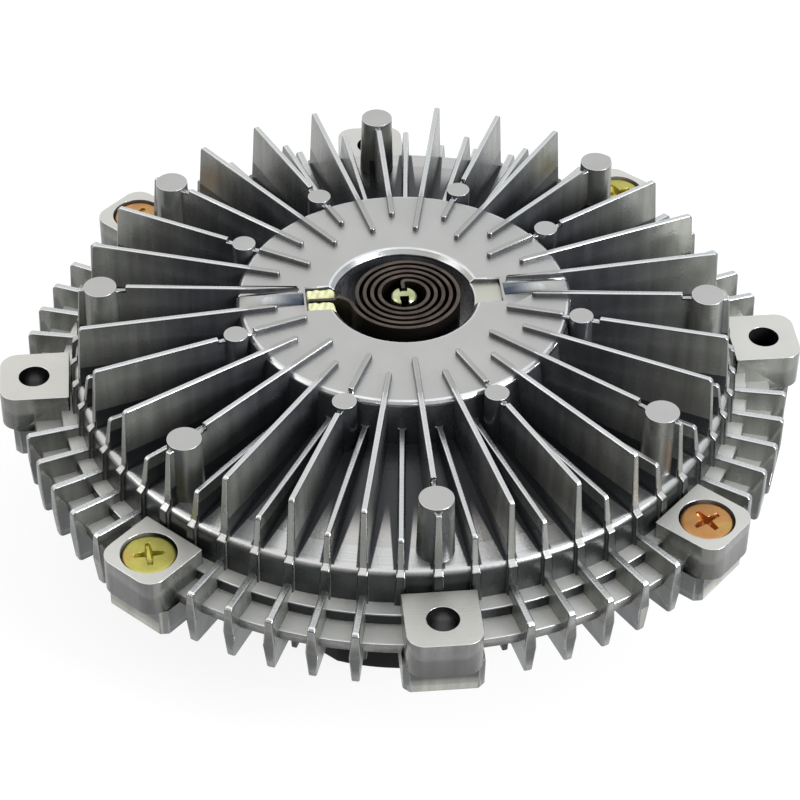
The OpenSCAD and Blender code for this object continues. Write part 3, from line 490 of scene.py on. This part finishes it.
WHOLE = (0, 100, 101)
FIN_STEP = math.radians(6)
terrace, terrace_rough = (0.80, 0.80, 0.78), 0.6
cover_ends = [
    # painted shade: the rim's wall is drawn near black
    (74, 0, (0.035, 0.04, 0.04)),  # wall of the rim
    # painted shade: the sides of the outer posts are drawn dark
    (66, 56.6, (0.09, 0.095, 0.1)),  # sides of the outer posts
    (73.6, 56.6, (0.34, 0.345, 0.32)),  # ends of the fins
    (84, 0, (0.34, 0.345, 0.33)),  # ends of the rim fins
    (92, 0, (0.26, 0.265, 0.26)),  # fronts of the lugs
]
cover_patches = [
    ((53, 61), (40, 68.6, 68.8), (0.52, 0.505, 0.49), 0.22),  # floor between the fins
    ((47.8, 48.2), WHOLE, terrace, terrace_rough),
    ((45.1, 45.5), WHOLE, terrace, terrace_rough),
    ((71.76, 72), (20, 36, 39), (0.43, 0.43, 0.42), 0.35),  # fin tops on the plateau
    ((51.8, 52.3), WHOLE, (0.69, 0.68, 0.65), 0.45),  # lugs
    ((70.3, 70.7), WHOLE, (0.53, 0.53, 0.52), 0.45),  # plateau
    ((71.2, 71.75), WHOLE, (0.52, 0.515, 0.51), 0.5),  # posts
    ((69.2, 69.4), (15, 22.3, 22.4), (0.60, 0.595, 0.53), 0.45),  # blank slot
    # painted shade in the scoops, tinted blue-grey, dark near the slots and fading outwards
    ((66, 70.45), (22.35, 24, 33), (0.07, 0.09, 0.12), 0.35),  # scoops
]
body_ends = [
    # painted shade: the body's wall under the rim is drawn near black
    (70, 0, (0.06, 0.062, 0.065)),  # wall
    (84, 0, (0.36, 0.365, 0.345)),  # ends of the rim fins
    (90.15, 0, (0.60, 0.595, 0.54)),  # fronts of the lugs
]
# wall colours: partly cast skin, partly painted shade
cover_skin = casting("cast_cover", (0.30, 0.31, 0.285), cover_ends, (0.68, 0.685, 0.685), cover_patches,
                     0.24, FIN_STEP)
body_skin = casting("cast_body", (0.21, 0.225, 0.23), body_ends, (0.60, 0.61, 0.61), [], 0.26)
# painted highlight, partly wear, on the rounded edges of the castings
bright_edge = edge_highlight_finish("edge_wear_and_highlight", (0.80, 0.82, 0.84), (0.52, 0.52, 0.51), (0.26, 0.27, 0.27), 0.25)
print("casting finishes:", cover_skin.name, body_skin.name, bright_edge.name)

# %% [markdown]
# ## Paint, plating and steel
# The flange is gloss black paint, the pin is zinc plated in pale green, and the pieces inside are turned,
# drawn or ground steel and aluminium. One recipe covers them: two colours mixed by the grain, rings or
# grain as relief, and scuffs that lift the colour. A recipe for each piece would repeat the same nodes.

# %% Finishes for the other pieces
def finish(name, dark, pale, rough, metal=1.0, rings=0.0, scale=90.0, relief=0.2, scuffed=0.2, steep=1.0):
    """Two colours mixed by mottled grain. Rings is the share of turned marks in the relief, scuffed the strength
    of the scratches, steep the share of the colour left on upright faces, a painted shade on them."""
    material, tree, shader, bump = begin(name, metal)
    grain = use(tree, cast_grain, Scale=scale)
    marks = use(tree, ring_marks, Rings_per_metre=2200.0)
    lines = use(tree, scuffs, Scale=55.0, Width=0.006)
    colour = blend_colour(tree, grain["Tone"], dark, pale)
    colour = darken(tree, colour, marks["Tone"], 1.0 - 0.25 * rings)
    lifted = [min(1.0, 1.25 * c + 0.04) for c in pale]
    colour = blend_colour(tree, calc(tree, "MULTIPLY", lines["Mask"], scuffed), colour, lifted)
    # painted shade: upright faces keep only the steep share of the colour
    colour = darken(tree, colour, use(tree, where)["Up"], steep)
    tree.links.new(colour, shader.inputs["Base Color"])
    tree.links.new(spread(tree, grain["Tone"], 0.0, 1.0, rough + 0.07, rough - 0.05), shader.inputs["Roughness"])
    height = sum_of_products(tree, marks["Height"], rings, grain["Grain"], 1.0 - 0.7 * rings)
    tree.links.new(height, bump.inputs["Height"])
    bump.inputs["Strength"].default_value = relief
    return material


finishes = {
    "black_paint": finish("black_paint", (0.004, 0.0045, 0.005), (0.008, 0.0085, 0.009), 0.22, metal=0.0,
                          relief=0.06, scuffed=0.03),
    "race_steel": finish("race_steel", (0.5, 0.51, 0.53), (0.64, 0.65, 0.67), 0.22, rings=0.8, relief=0.1),
    "ball_steel": finish("ball_steel", (0.66, 0.67, 0.69), (0.74, 0.75, 0.77), 0.09, relief=0.02, scuffed=0.1),
    "cage_brass": finish("cage_brass", (0.45, 0.31, 0.1), (0.58, 0.43, 0.17), 0.3, rings=0.5),
    "seal_rubber": finish("seal_rubber", (0.055, 0.03, 0.02), (0.09, 0.052, 0.036), 0.6, metal=0.0,
                          scuffed=0.05),
    "spring_steel": finish("spring_steel", (0.08, 0.085, 0.095), (0.15, 0.16, 0.17), 0.35, scuffed=0.3),
    "rotor_metal": finish("rotor_metal", (0.48, 0.5, 0.51), (0.6, 0.62, 0.63), 0.32, rings=1.0),
    "plate_steel": finish("plate_steel", (0.56, 0.57, 0.56), (0.68, 0.69, 0.68), 0.3, scuffed=0.4),
    "rivet_metal": finish("rivet_metal", (0.5, 0.51, 0.52), (0.62, 0.63, 0.64), 0.3),
    "wiper_plastic": finish("wiper_plastic", (0.035, 0.038, 0.042), (0.06, 0.065, 0.07), 0.5, metal=0.0,
                            scuffed=0.1),
    "cord_rubber": finish("cord_rubber", (0.009, 0.009, 0.01), (0.016, 0.016, 0.017), 0.55, metal=0.0,
                          scuffed=0.03),
    # painted shade: the strip's upright sides keep 0.12 of the colour
    "bimetal": finish("bimetal", (0.045, 0.032, 0.027), (0.10, 0.075, 0.062), 0.4, metal=0.6, scale=220.0,
                      scuffed=0.2, steep=0.12),
    "sealant": finish("sealant", (0.60, 0.61, 0.34), (0.72, 0.73, 0.46), 0.5, metal=0.0, scale=260.0,
                      scuffed=0.0),
    "pin_zinc": finish("pin_zinc", (0.40, 0.43, 0.22), (0.64, 0.67, 0.42), 0.3, scale=200.0, scuffed=0.1),
}
paint = finishes["black_paint"].node_tree.nodes["Principled BSDF"]
paint.inputs["Specular IOR Level"].default_value = 0.12
print("finishes:", len(finishes))

# %% [markdown]
# ## Yellow zinc
# The four screws are zinc plated with a thin chromate film whose thickness sets its hue: two of them look
# green-yellow and two look like copper. The film could be a colour for each screw; one finish that reads
# the place of the screw keeps the cloudy drift between the hues.

# %% Yellow zinc
def yellow_zinc(name, green, copper, rough):
    """Chromated zinc: a green-yellow film on two opposite quarters of the part and a copper one on the
    others, told apart by the sign of x times y, with cloudy drift between the two."""
    material, tree, shader, bump = begin(name)
    place = put(tree, "TexCoord").outputs["Object"]
    axes = put(tree, "SeparateXYZ", Vector=place).outputs
    side = calc(tree, "MULTIPLY", calc(tree, "SIGN", calc(tree, "MULTIPLY", axes["X"], axes["Y"])), 0.4)
    cloud = put(tree, "TexNoise", Vector=place, Scale=190.0, Detail=4.0).outputs[0]
    centred = calc(tree, "SUBTRACT", cloud, 0.5)
    drift = calc(tree, "MULTIPLY_ADD", centred, 1.6, calc(tree, "SUBTRACT", 0.5, side))
    grain = use(tree, cast_grain, Scale=300.0)
    film = blend_colour(tree, spread(tree, drift, 0.0, 1.0), green, copper)
    tree.links.new(darken(tree, film, grain["Tone"], 0.82), shader.inputs["Base Color"])
    tree.links.new(spread(tree, grain["Tone"], 0.0, 1.0, rough + 0.08, rough), shader.inputs["Roughness"])
    tree.links.new(grain["Grain"], bump.inputs["Height"])
    bump.inputs["Strength"].default_value = 0.15
    return material


finishes["screw_zinc"] = yellow_zinc("screw_zinc", (0.57, 0.53, 0.14), (0.62, 0.31, 0.12), 0.32)
finishes["cast_cover"], finishes["cast_body"] = cover_skin, body_skin
for entry in frame["record"]["subparts"]:
    for place in nodes[entry["node"]].material_slots:
        place.link = "OBJECT"
        place.material = finishes[entry["material_slot"]]
print("finishes on nodes:", len(nodes))

# %% [markdown]
# ## Scoops and rib shoulders
# Beside each slot a scoop runs into the plateau. It is deepest at the slot and closes before the rim, and
# the ribs on the wall below the fins end in a level shoulder. The solid has both in a simpler form, so the
# points of the cover's copy are moved. A second surface laid over the casting would leave a seam.

# %% Scoops and rib shoulders
PLATEAU_Z, PLATEAU_R, CHAMFER_START, CHAMFER_LOW = 70.5, 38.0, 37.15, 69.7
SLOT_END, SLOT_WALL, SCOOP_HALF_W, SCOOP_CLOSED, SCOOP_DEEPER = 22.3, 0.5, 3.15, 33.5, 1.9
SCOOP_START = (22.95, 23.4, 69.0, PLATEAU_Z + 0.01)
SCOOP_RIM = (37.1, PLATEAU_R + 0.24, 68.1, PLATEAU_Z + 0.01)
RIB_R, RIB_KNEE, RIB_SHOULDER = 76.5, 54.3, 55.6


def near(point, low_r, high_r, low_z, high_z):
    """True for a point between two radii and two heights, in millimetres."""
    radius, height = math.hypot(point.co.x, point.co.y) / MM, point.co.z / MM
    return low_r < radius < high_r and low_z < height < high_z


def cut_scoop(work, points, x, side):
    """Cuts the faces that have all their corners among the points, at x on one side, and lifts the new
    points to the plateau's face. Returns the new points."""
    corners = set(points)
    faces = [face for face in work.faces if all(corner in corners for corner in face.verts)]
    chosen = set(faces)
    lines = [line for line in work.edges if any(face in chosen for face in line.link_faces)]
    made = bmesh.ops.bisect_plane(work, geom=faces + lines + points, dist=1e-7,
                                  plane_co=(side * x * MM, 0, 0), plane_no=(side, 0, 0))["geom_cut"]
    fresh = [item for item in made if isinstance(item, bmesh.types.BMVert)]
    for point in fresh:
        point.co.z = PLATEAU_Z * MM
    return fresh


def shape_cover(work):
    """Moves points of the cover's merged copy. The end of each scoop at its slot goes down to SCOOP_DEEPER
    times its depth and the rest rises in a straight line to the plateau's face at SCOOP_CLOSED, so the
    rim of the plateau closes again. The knee of each wall rib is lifted to a level shoulder."""
    for side in (1, -1):
        here = [point for point in work.verts
                if point.co.x * side > 0 and abs(point.co.y) < SCOOP_HALF_W * MM]
        at_slot = [point for point in here if near(point, *SCOOP_START)]
        at_rim = [point for point in here if near(point, *SCOOP_RIM)]
        closed = cut_scoop(work, at_slot + at_rim, SCOOP_CLOSED, side)
        cut_scoop(work, closed + at_rim, CHAMFER_START, side)
        for point in at_rim:
            if point.co.z < (CHAMFER_LOW - 0.01) * MM:
                point.co.xy *= PLATEAU_R * MM / math.hypot(point.co.x, point.co.y)
                point.co.z = CHAMFER_LOW * MM
        for point in at_slot:
            point.co.x = side * (SLOT_END + SLOT_WALL) * MM
            point.co.z = (PLATEAU_Z - SCOOP_DEEPER * (PLATEAU_Z - point.co.z / MM)) * MM
    for point in work.verts:
        if near(point, RIB_R - 0.1, RIB_R + 0.1, RIB_KNEE - 0.1, RIB_KNEE + 0.1):
            point.co.z = RIB_SHOULDER * MM


print("scoops close at radius", SCOOP_CLOSED, "mm, rib shoulders at height", RIB_SHOULDER, "mm")

# %% [markdown]
# ## Soft edges
# A die casting has no sharp outer corners: each is a small round that catches the light as a bright line, while
# inner corners stay dark. The solids have sharp edges, so a copy of each casting is merged, its flat triangles
# are joined, and a Bevel modifier rounds the outer corners only. The strip it makes takes the edge finish: a
# painted highlight on top of wear where it looks up, and painted shade where it looks sideways.

# %% Soft edges
SPLIT_Z = 43.0
MERGE, LEVEL_TURN, SHARP_TURN, ROUND_STEPS = 2e-6, math.radians(0.4), math.radians(28), 3
MILLED = ((SPLIT_Z, 0.0), (52.0, 0.4), (71.4, 0.35), (71.7, 0.35))


def refill_plane(work, height):
    """Takes the joined faces of one level plane away and fills its outlines with triangles, so that the
    holes stay open; a single many-sided face can't go round a hole. The fill merges points closer than
    some hundredths of a unit, so the copy is in millimetres while it runs."""
    level = [face for face in work.faces if all(abs(corner.co.z - height) < 1e-6 for corner in face.verts)]
    chosen = set(level)
    rim = [line for line in work.edges if sum(face in chosen for face in line.link_faces) == 1]
    upwards = level[0].normal.z > 0
    bmesh.ops.delete(work, geom=level, context="FACES")
    bmesh.ops.scale(work, vec=(1 / MM,) * 3, verts=work.verts)
    made = bmesh.ops.triangle_fill(work, use_beauty=True, edges=rim,
                                   normal=(0, 0, 1 if upwards else -1))["geom"]
    bmesh.ops.scale(work, vec=(MM,) * 3, verts=work.verts)
    fresh = [item for item in made if isinstance(item, bmesh.types.BMFace)]
    bmesh.ops.reverse_faces(work, faces=[face for face in fresh if (face.normal.z > 0) != upwards])


def in_scoop(line):
    """True for an edge whose middle lies in a scoop."""
    middle = (line.verts[0].co + line.verts[1].co) / (2 * MM)
    along = SLOT_END < abs(middle.x) < PLATEAU_R + 0.5
    return along and abs(middle.y) < SCOOP_HALF_W + 0.05 and middle.z < PLATEAU_Z + 0.01


def weigh_edges(work, planes, shaped):
    """Bevel weight 1 on each convex edge sharper than SHARP_TURN, less on milled planes, none in a shaped
    scoop; each concave edge is marked sharp."""
    weight = work.edges.layers.float.new("bevel_weight_edge")
    for line in work.edges:
        turn = line.calc_face_angle_signed(0.0)
        line[weight] = float(turn > SHARP_TURN and not (shaped and in_scoop(line)))
        for height, share in planes:
            if all(abs(corner.co.z - height * MM) < 0.02 * MM for corner in line.verts):
                line[weight] = min(line[weight], share)
        line.smooth = turn > -SHARP_TURN


def soft_edges(node, name, body, skin, edge, width, planes=(), shape=None, refill=()):
    """Copy of a node with its outer corners rounded: doubles merged, level triangles joined, edges weighed
    for the bevel. Planes is a list of (height in millimetres, weight) for edges of milled planes, which
    stay crisper than cast ones, refill a list of heights of planes with holes, and shape a function that
    moves points first."""
    mesh = nodes[node].data.copy()
    mesh.name = name
    work = bmesh.new()
    work.from_mesh(mesh)
    bmesh.ops.remove_doubles(work, verts=work.verts, dist=MERGE)
    bmesh.ops.dissolve_limit(work, angle_limit=LEVEL_TURN, verts=work.verts, edges=work.edges)
    for height in refill:
        refill_plane(work, height * MM)
    if shape:
        shape(work)
        work.normal_update()
    weigh_edges(work, planes, bool(shape))
    for face in work.faces:
        face.smooth = True
        face.material_index = 0
    work.to_mesh(mesh)
    work.free()
    mesh.materials.clear()
    mesh.materials.append(skin)
    mesh.materials.append(edge)
    if "custom_normal" in mesh.attributes:
        mesh.attributes.remove(mesh.attributes["custom_normal"])
    piece = bpy.data.objects.new(name, mesh)
    scene.collection.objects.link(piece)
    bevel = piece.modifiers.new("round", "BEVEL")
    bevel.width, bevel.segments = width, ROUND_STEPS
    bevel.limit_method = "WEIGHT"
    bevel.material = 1
    bevel.use_clamp_overlap = False
    bevel.harden_normals = True
    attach(piece, body)
    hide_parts(node)
    print(name, "faces before the bevel:", len(mesh.polygons))


black, zinc = finishes["black_paint"], finishes["pin_zinc"]
soft_edges("front_cover", "cover_casting", "housing", cover_skin, bright_edge, 0.33 * MM,
           MILLED, shape_cover, [SPLIT_Z])
soft_edges("rear_body", "body_casting", "housing", body_skin, bright_edge, 0.33 * MM,
           MILLED, refill=[SPLIT_Z])
soft_edges("drive_shaft", "flange_and_shaft", "drive", black, black, 0.5 * MM)
soft_edges("valve_shaft", "valve_pin", "valve", zinc, zinc, 0.2 * MM)

# %% [markdown]
# ## Surfaces from rings
# The coil, the sealant and the screws are drawn as rings of points, one ring after another along a path.
# A single function joins the rings with quads and closes both ends, so each piece only has to give the
# formula of its points.

# %% Rings to a piece
def ring_mesh(rings):
    """Points and faces of a closed skin over rings[n, m, 3]: quads between neighbouring rings, a cap on
    the first and the last ring. The order is turned round if the enclosed volume comes out negative."""
    count, around, _ = rings.shape
    points = rings.reshape(-1, 3)
    i, j = np.meshgrid(np.arange(count - 1), np.arange(around), indexing="ij")
    here, after = i * around + j, i * around + (j + 1) % around
    quads = np.stack([here, after, after + around, here + around], axis=-1).reshape(-1, 4)
    caps = [np.arange(around)[::-1], np.arange(around) + (count - 1) * around]
    a, b, c, d = (points[quads[:, k]] for k in range(4))
    volume = np.sum(np.cross(b - a, c - a) * a) + np.sum(np.cross(c - a, d - a) * a)
    if volume < 0:
        quads, caps = quads[:, ::-1], [cap[::-1] for cap in caps]
    return points, quads, caps


def ring_piece(name, parts, finish_name, smooth_angle):
    """One object from several (points, quads, caps) parts in millimetres, smooth below smooth_angle."""
    points, faces, start = [], [], 0
    for part_points, quads, caps in parts:
        points.append(part_points)
        faces += (quads + start).tolist() + [(cap + start).tolist() for cap in caps]
        start += len(part_points)
    mesh = bpy.data.meshes.new(name)
    mesh.from_pydata((np.concatenate(points) * MM).tolist(), [], faces)
    mesh.polygons.foreach_set("use_smooth", np.ones(len(faces), dtype=bool))
    mesh.materials.append(finishes[finish_name])
    mesh.set_sharp_from_angle(angle=math.radians(smooth_angle))
    piece = bpy.data.objects.new(name, mesh)
    scene.collection.objects.link(piece)
    print(name, "points:", start)
    return piece


print("rings to pieces ready")

# %% [markdown]
# ## Bimetal coil
# The heat-sensing spring is one strip of two metals rolled together, wound in a flat spiral. Its tail is held in
# the cover and its hook turns the pin. The spiral is made of half rings, as it comes off a winding mandrel; a
# rounded strip section runs along it. Each ring's share of the pin's turn, which grows with the strip's length,
# is worked out but not used, so the spiral does not wind up when the pin turns.

# %% Bimetal coil
COIL_R, COIL_STEP, HALF_TURNS, LEAD = 12.4, 0.855, 9, 15
STRIP_HALF_T, STRIP_LOW, STRIP_TOP = 0.45, 62.1, 70.8
TAIL_END, HOOK_END = -21.6, 1.75
TAIL_LENGTH, TAIL_DROP, TAIL_STEP = 6.0, 0.7, 0.3
END_LENGTH, END_SHARE = 0.25, 0.7


def arc_points(x, y, radius, start, stop, count=64):
    """Points x + radius cos(a), y + radius sin(a) for angles a from start to stop, in degrees."""
    a = np.radians(np.linspace(start, stop, count))
    return np.stack([x + radius * np.cos(a), y + radius * np.sin(a)], axis=1)


def coil_path():
    """Middle line of the strip: straight tail, bend, half rings whose centres step to and fro by half the
    pitch while their radius shrinks by the same amount, hook, and the end in the pin's slot."""
    lead = math.radians(LEAD)
    bend_r = COIL_R * math.sin(lead) / (1 - math.sin(lead))
    bend_x = -(COIL_R + bend_r) * math.cos(lead)
    hook_turn_r = COIL_R - HALF_TURNS * COIL_STEP
    hook_y = hook_turn_r - COIL_STEP
    tail = [np.array([[TAIL_END, 0.0]]), arc_points(bend_x, -bend_r, bend_r, 90, LEAD)]
    turns = [arc_points(0, 0, COIL_R, 180 + LEAD, 360)]
    turns += [arc_points(COIL_STEP * (k % 2), 0, COIL_R - k * COIL_STEP, 180 * (k + 1), 180 * (k + 2))
              for k in range(1, HALF_TURNS)]
    hook = [arc_points(COIL_STEP, 0, hook_turn_r, 0, 90),
            arc_points(COIL_STEP, hook_y, COIL_STEP, 90, 180), np.array([[0.0, HOOK_END]])]
    line = np.concatenate(tail + turns + hook)
    along = np.concatenate([[0], np.cumsum(np.hypot(*np.diff(line, axis=0).T))])
    marks = [along[sum(map(len, tail))], along[sum(map(len, tail + turns))]]
    return line, along, marks


def strip_rings(count=1100, corner=0.16):
    """Rings of the strip: at each point of the path a rounded rectangle, thickness across the path and
    height along Z. The tail's top lies lower, and the last END_LENGTH of both ends is drawn in. Also gives
    each ring's share of the pin's turn, which grows with the length along the turns, and the length."""
    line, along, marks = coil_path()
    s = np.linspace(0, along[-1], count)
    middle = np.stack([np.interp(s, along, line[:, k]) for k in (0, 1)], axis=1)
    tangent = np.gradient(middle, axis=0)
    tangent /= np.linalg.norm(tangent, axis=1)[:, None]
    across = np.stack([-tangent[:, 1], tangent[:, 0]], axis=1)
    turn = np.radians(np.concatenate([np.linspace(q, q + 90, 6) for q in (0, 90, 180, 270)]))
    corners = np.radians(np.repeat([45, 135, 225, 315], 6))
    side, rise = np.sign(np.cos(corners)), np.sign(np.sin(corners))
    out = side * (STRIP_HALF_T - corner) + corner * np.cos(turn)
    top = STRIP_TOP - TAIL_DROP * np.clip((TAIL_LENGTH + TAIL_STEP - s) / TAIL_STEP, 0, 1)
    middle_z = np.where(rise > 0, top[:, None] - corner, STRIP_LOW + corner)
    near_end = np.clip(np.minimum(s, along[-1] - s) / END_LENGTH, 0, 1)
    drawn = END_SHARE + (1 - END_SHARE) * np.sqrt(1 - (1 - near_end) ** 2)
    rings = np.empty((count, len(out), 3))
    rings[:, :, :2] = middle[:, None] + across[:, None] * (drawn[:, None] * out)[:, :, None]
    rings[:, :, 2] = middle_z + corner * np.sin(turn)
    share = np.clip((s - marks[0]) / (marks[1] - marks[0]), 0, 1)
    return rings, share, along[-1]


strip, share, length = strip_rings()
coil = ring_piece("coil_strip", [ring_mesh(strip)], "bimetal", smooth_angle=50)
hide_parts("bimetal_coil")
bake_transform(coil)
print("strip length in mm:", round(float(length), 1))

# %% [markdown]
# ## Sealant round the tail
# The tail is bedded in a yellow sealant that was poured into the slot and sank a little beside the strip.
# Its section across the slot is drawn once, two low pads with a notch for the strip, and carried along
# the slot while slow waves lift and lower the pads.

# %% Sealant
BED_END, BED_FRONT_R, BED_HALF_W, BED_LOW, BED_TOP = -22.24, 16.05, 4.02, 61.3, 70.22
NOTCH_HALF_W, NOTCH_LOW, PAD_FALL = 0.56, 62.2, 0.9


def sealant_rings(count=60, pad_count=22):
    """Rings along the slot from its closed end to the pit's wall. Across the slot, a pad's top falls
    towards the slot's wall and the strip with the fifth power of the distance from its middle. Two sine
    waves along the slot lift and lower the pads, and both ends fall with a third power."""
    t = np.linspace(-1, 1, pad_count)
    pad_low = NOTCH_HALF_W + 0.02
    pad_y = pad_low + (BED_HALF_W - pad_low) * (t + 1) / 2
    pad_z = BED_TOP - PAD_FALL * np.abs(t) ** 5
    y = np.concatenate([[-BED_HALF_W, BED_HALF_W], pad_y[::-1], [NOTCH_HALF_W, -NOTCH_HALF_W], -pad_y])
    z = np.concatenate([[BED_LOW, BED_LOW], pad_z[::-1], [NOTCH_LOW, NOTCH_LOW], pad_z])
    is_top = np.concatenate([[0, 0], np.ones(pad_count), [0, 0], np.ones(pad_count)])
    s = np.linspace(0, 1, count)[:, None]
    front_x = -np.sqrt(BED_FRONT_R ** 2 - y ** 2)
    x = BED_END + s * (front_x - BED_END)
    waves = 0.10 * np.sin(2.3 * x + 0.9 * y) + 0.07 * np.sin(4.1 * x - 1.7 * y + 1.0)
    ends = 0.8 * (1 - np.clip(np.minimum(s, 1 - s) / 0.12, 0, 1)) ** 3
    rings = np.empty((count, len(y), 3))
    rings[:, :, 0], rings[:, :, 1] = x, y
    rings[:, :, 2] = z + is_top * np.minimum(waves - 0.08 - ends, 0.06)
    return rings


bed = ring_piece("sealant_bed", [ring_mesh(sealant_rings())], "sealant", smooth_angle=60)
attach(bed, "housing")
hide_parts("coil_sealant")

# %% [markdown]
# ## Cover screws
# Four cheese-head screws hold cover and body together. Each is a turned blank whose cross recess is struck
# with a tapered punch, so its walls slope and its floor is deepest in the middle; the thread is rolled.
# The outline is turned about the axis, the punch lowers the top, and the thread ripples the shank.

# %% Cover screws
SCREW_HEAD_Z, SCREW_TOP_Z, SCREW_TIP_Z = 47.7, 51.6, 36.0
HEAD_R, HEAD_ROUND, HEAD_DOME, SHANK_R = 5.9, 0.7, 0.12, 3.0
THREAD_PITCH, THREAD_DEPTH, THREAD_RINGS = 1.0, 0.22, 90
SCREW_TURNS = ((45, 20), (135, 65), (225, 5), (315, 30))


def cross_depth(x, y, depth=2.1, reach=3.3, half_w=0.75):
    """Depth of the punched cross at (x, y): two bars with sloping walls, deepest in the middle."""
    def bar(u, v):
        slope = np.clip((half_w * (1.15 - 0.45 * np.abs(u) / reach) - np.abs(v)) / 0.28, 0, 1)
        floor = np.clip(1 - (np.abs(u) / reach) ** 2.2, 0, 1)
        return slope * (0.25 + 0.75 * floor) * (np.abs(u) < reach)
    return depth * np.maximum(bar(x, y), bar(y, x))


def screw_rings(angle, turn, around=132):
    """Rings of one screw from the middle of its head's top, out over the edge, down the side and the
    shank to the tip. Points are (r cos t, r sin t, z) with the cross turned by the given angle, and the
    thread is a triangle wave of the height less the share of a full turn."""
    top = np.linspace(0.04, HEAD_R - HEAD_ROUND, 56)
    edge = np.radians(np.linspace(0, 90, 9))[1:]
    dome = SCREW_TOP_Z - HEAD_DOME * (top / HEAD_R) ** 2
    shank_z = np.linspace(SCREW_HEAD_Z - 0.1, SCREW_TIP_Z + 0.6, THREAD_RINGS)
    outline = [
        (top, dome),
        (HEAD_R - HEAD_ROUND + HEAD_ROUND * np.sin(edge),
         SCREW_TOP_Z - HEAD_DOME - HEAD_ROUND + HEAD_ROUND * np.cos(edge)),
        ([HEAD_R, HEAD_R - 0.1, SHANK_R], [SCREW_HEAD_Z + 0.1, SCREW_HEAD_Z, SCREW_HEAD_Z]),
        (np.full(THREAD_RINGS, SHANK_R - 0.02), shank_z),
        ([SHANK_R - 0.5, 0.3], [SCREW_TIP_Z, SCREW_TIP_Z]),
    ]
    r, z = (np.concatenate([part[k] for part in outline]) for k in (0, 1))
    number = np.repeat(np.arange(len(outline)), [len(part[0]) for part in outline])[:, None]
    on_top, on_shank = number == 0, number == 3
    t = np.linspace(0, 2 * np.pi, around, endpoint=False)
    phase = (z[:, None] / THREAD_PITCH - t / (2 * np.pi)) % 1.0
    radius = r[:, None] - on_shank * THREAD_DEPTH * np.abs(2 * phase - 1)
    x, y = radius * np.cos(t), radius * np.sin(t)
    c, s = math.cos(math.radians(turn)), math.sin(math.radians(turn))
    height = z[:, None] - on_top * cross_depth(c * x + s * y, c * y - s * x)
    a = math.radians(angle)
    return np.stack([x + LUG_CIRCLE * math.cos(a), y + LUG_CIRCLE * math.sin(a), height], axis=-1)


screw_skins = [ring_mesh(screw_rings(angle, turn)) for angle, turn in SCREW_TURNS]
screws = ring_piece("screws", screw_skins, "screw_zinc", smooth_angle=32)
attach(screws, "housing")
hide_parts("cover_screws")
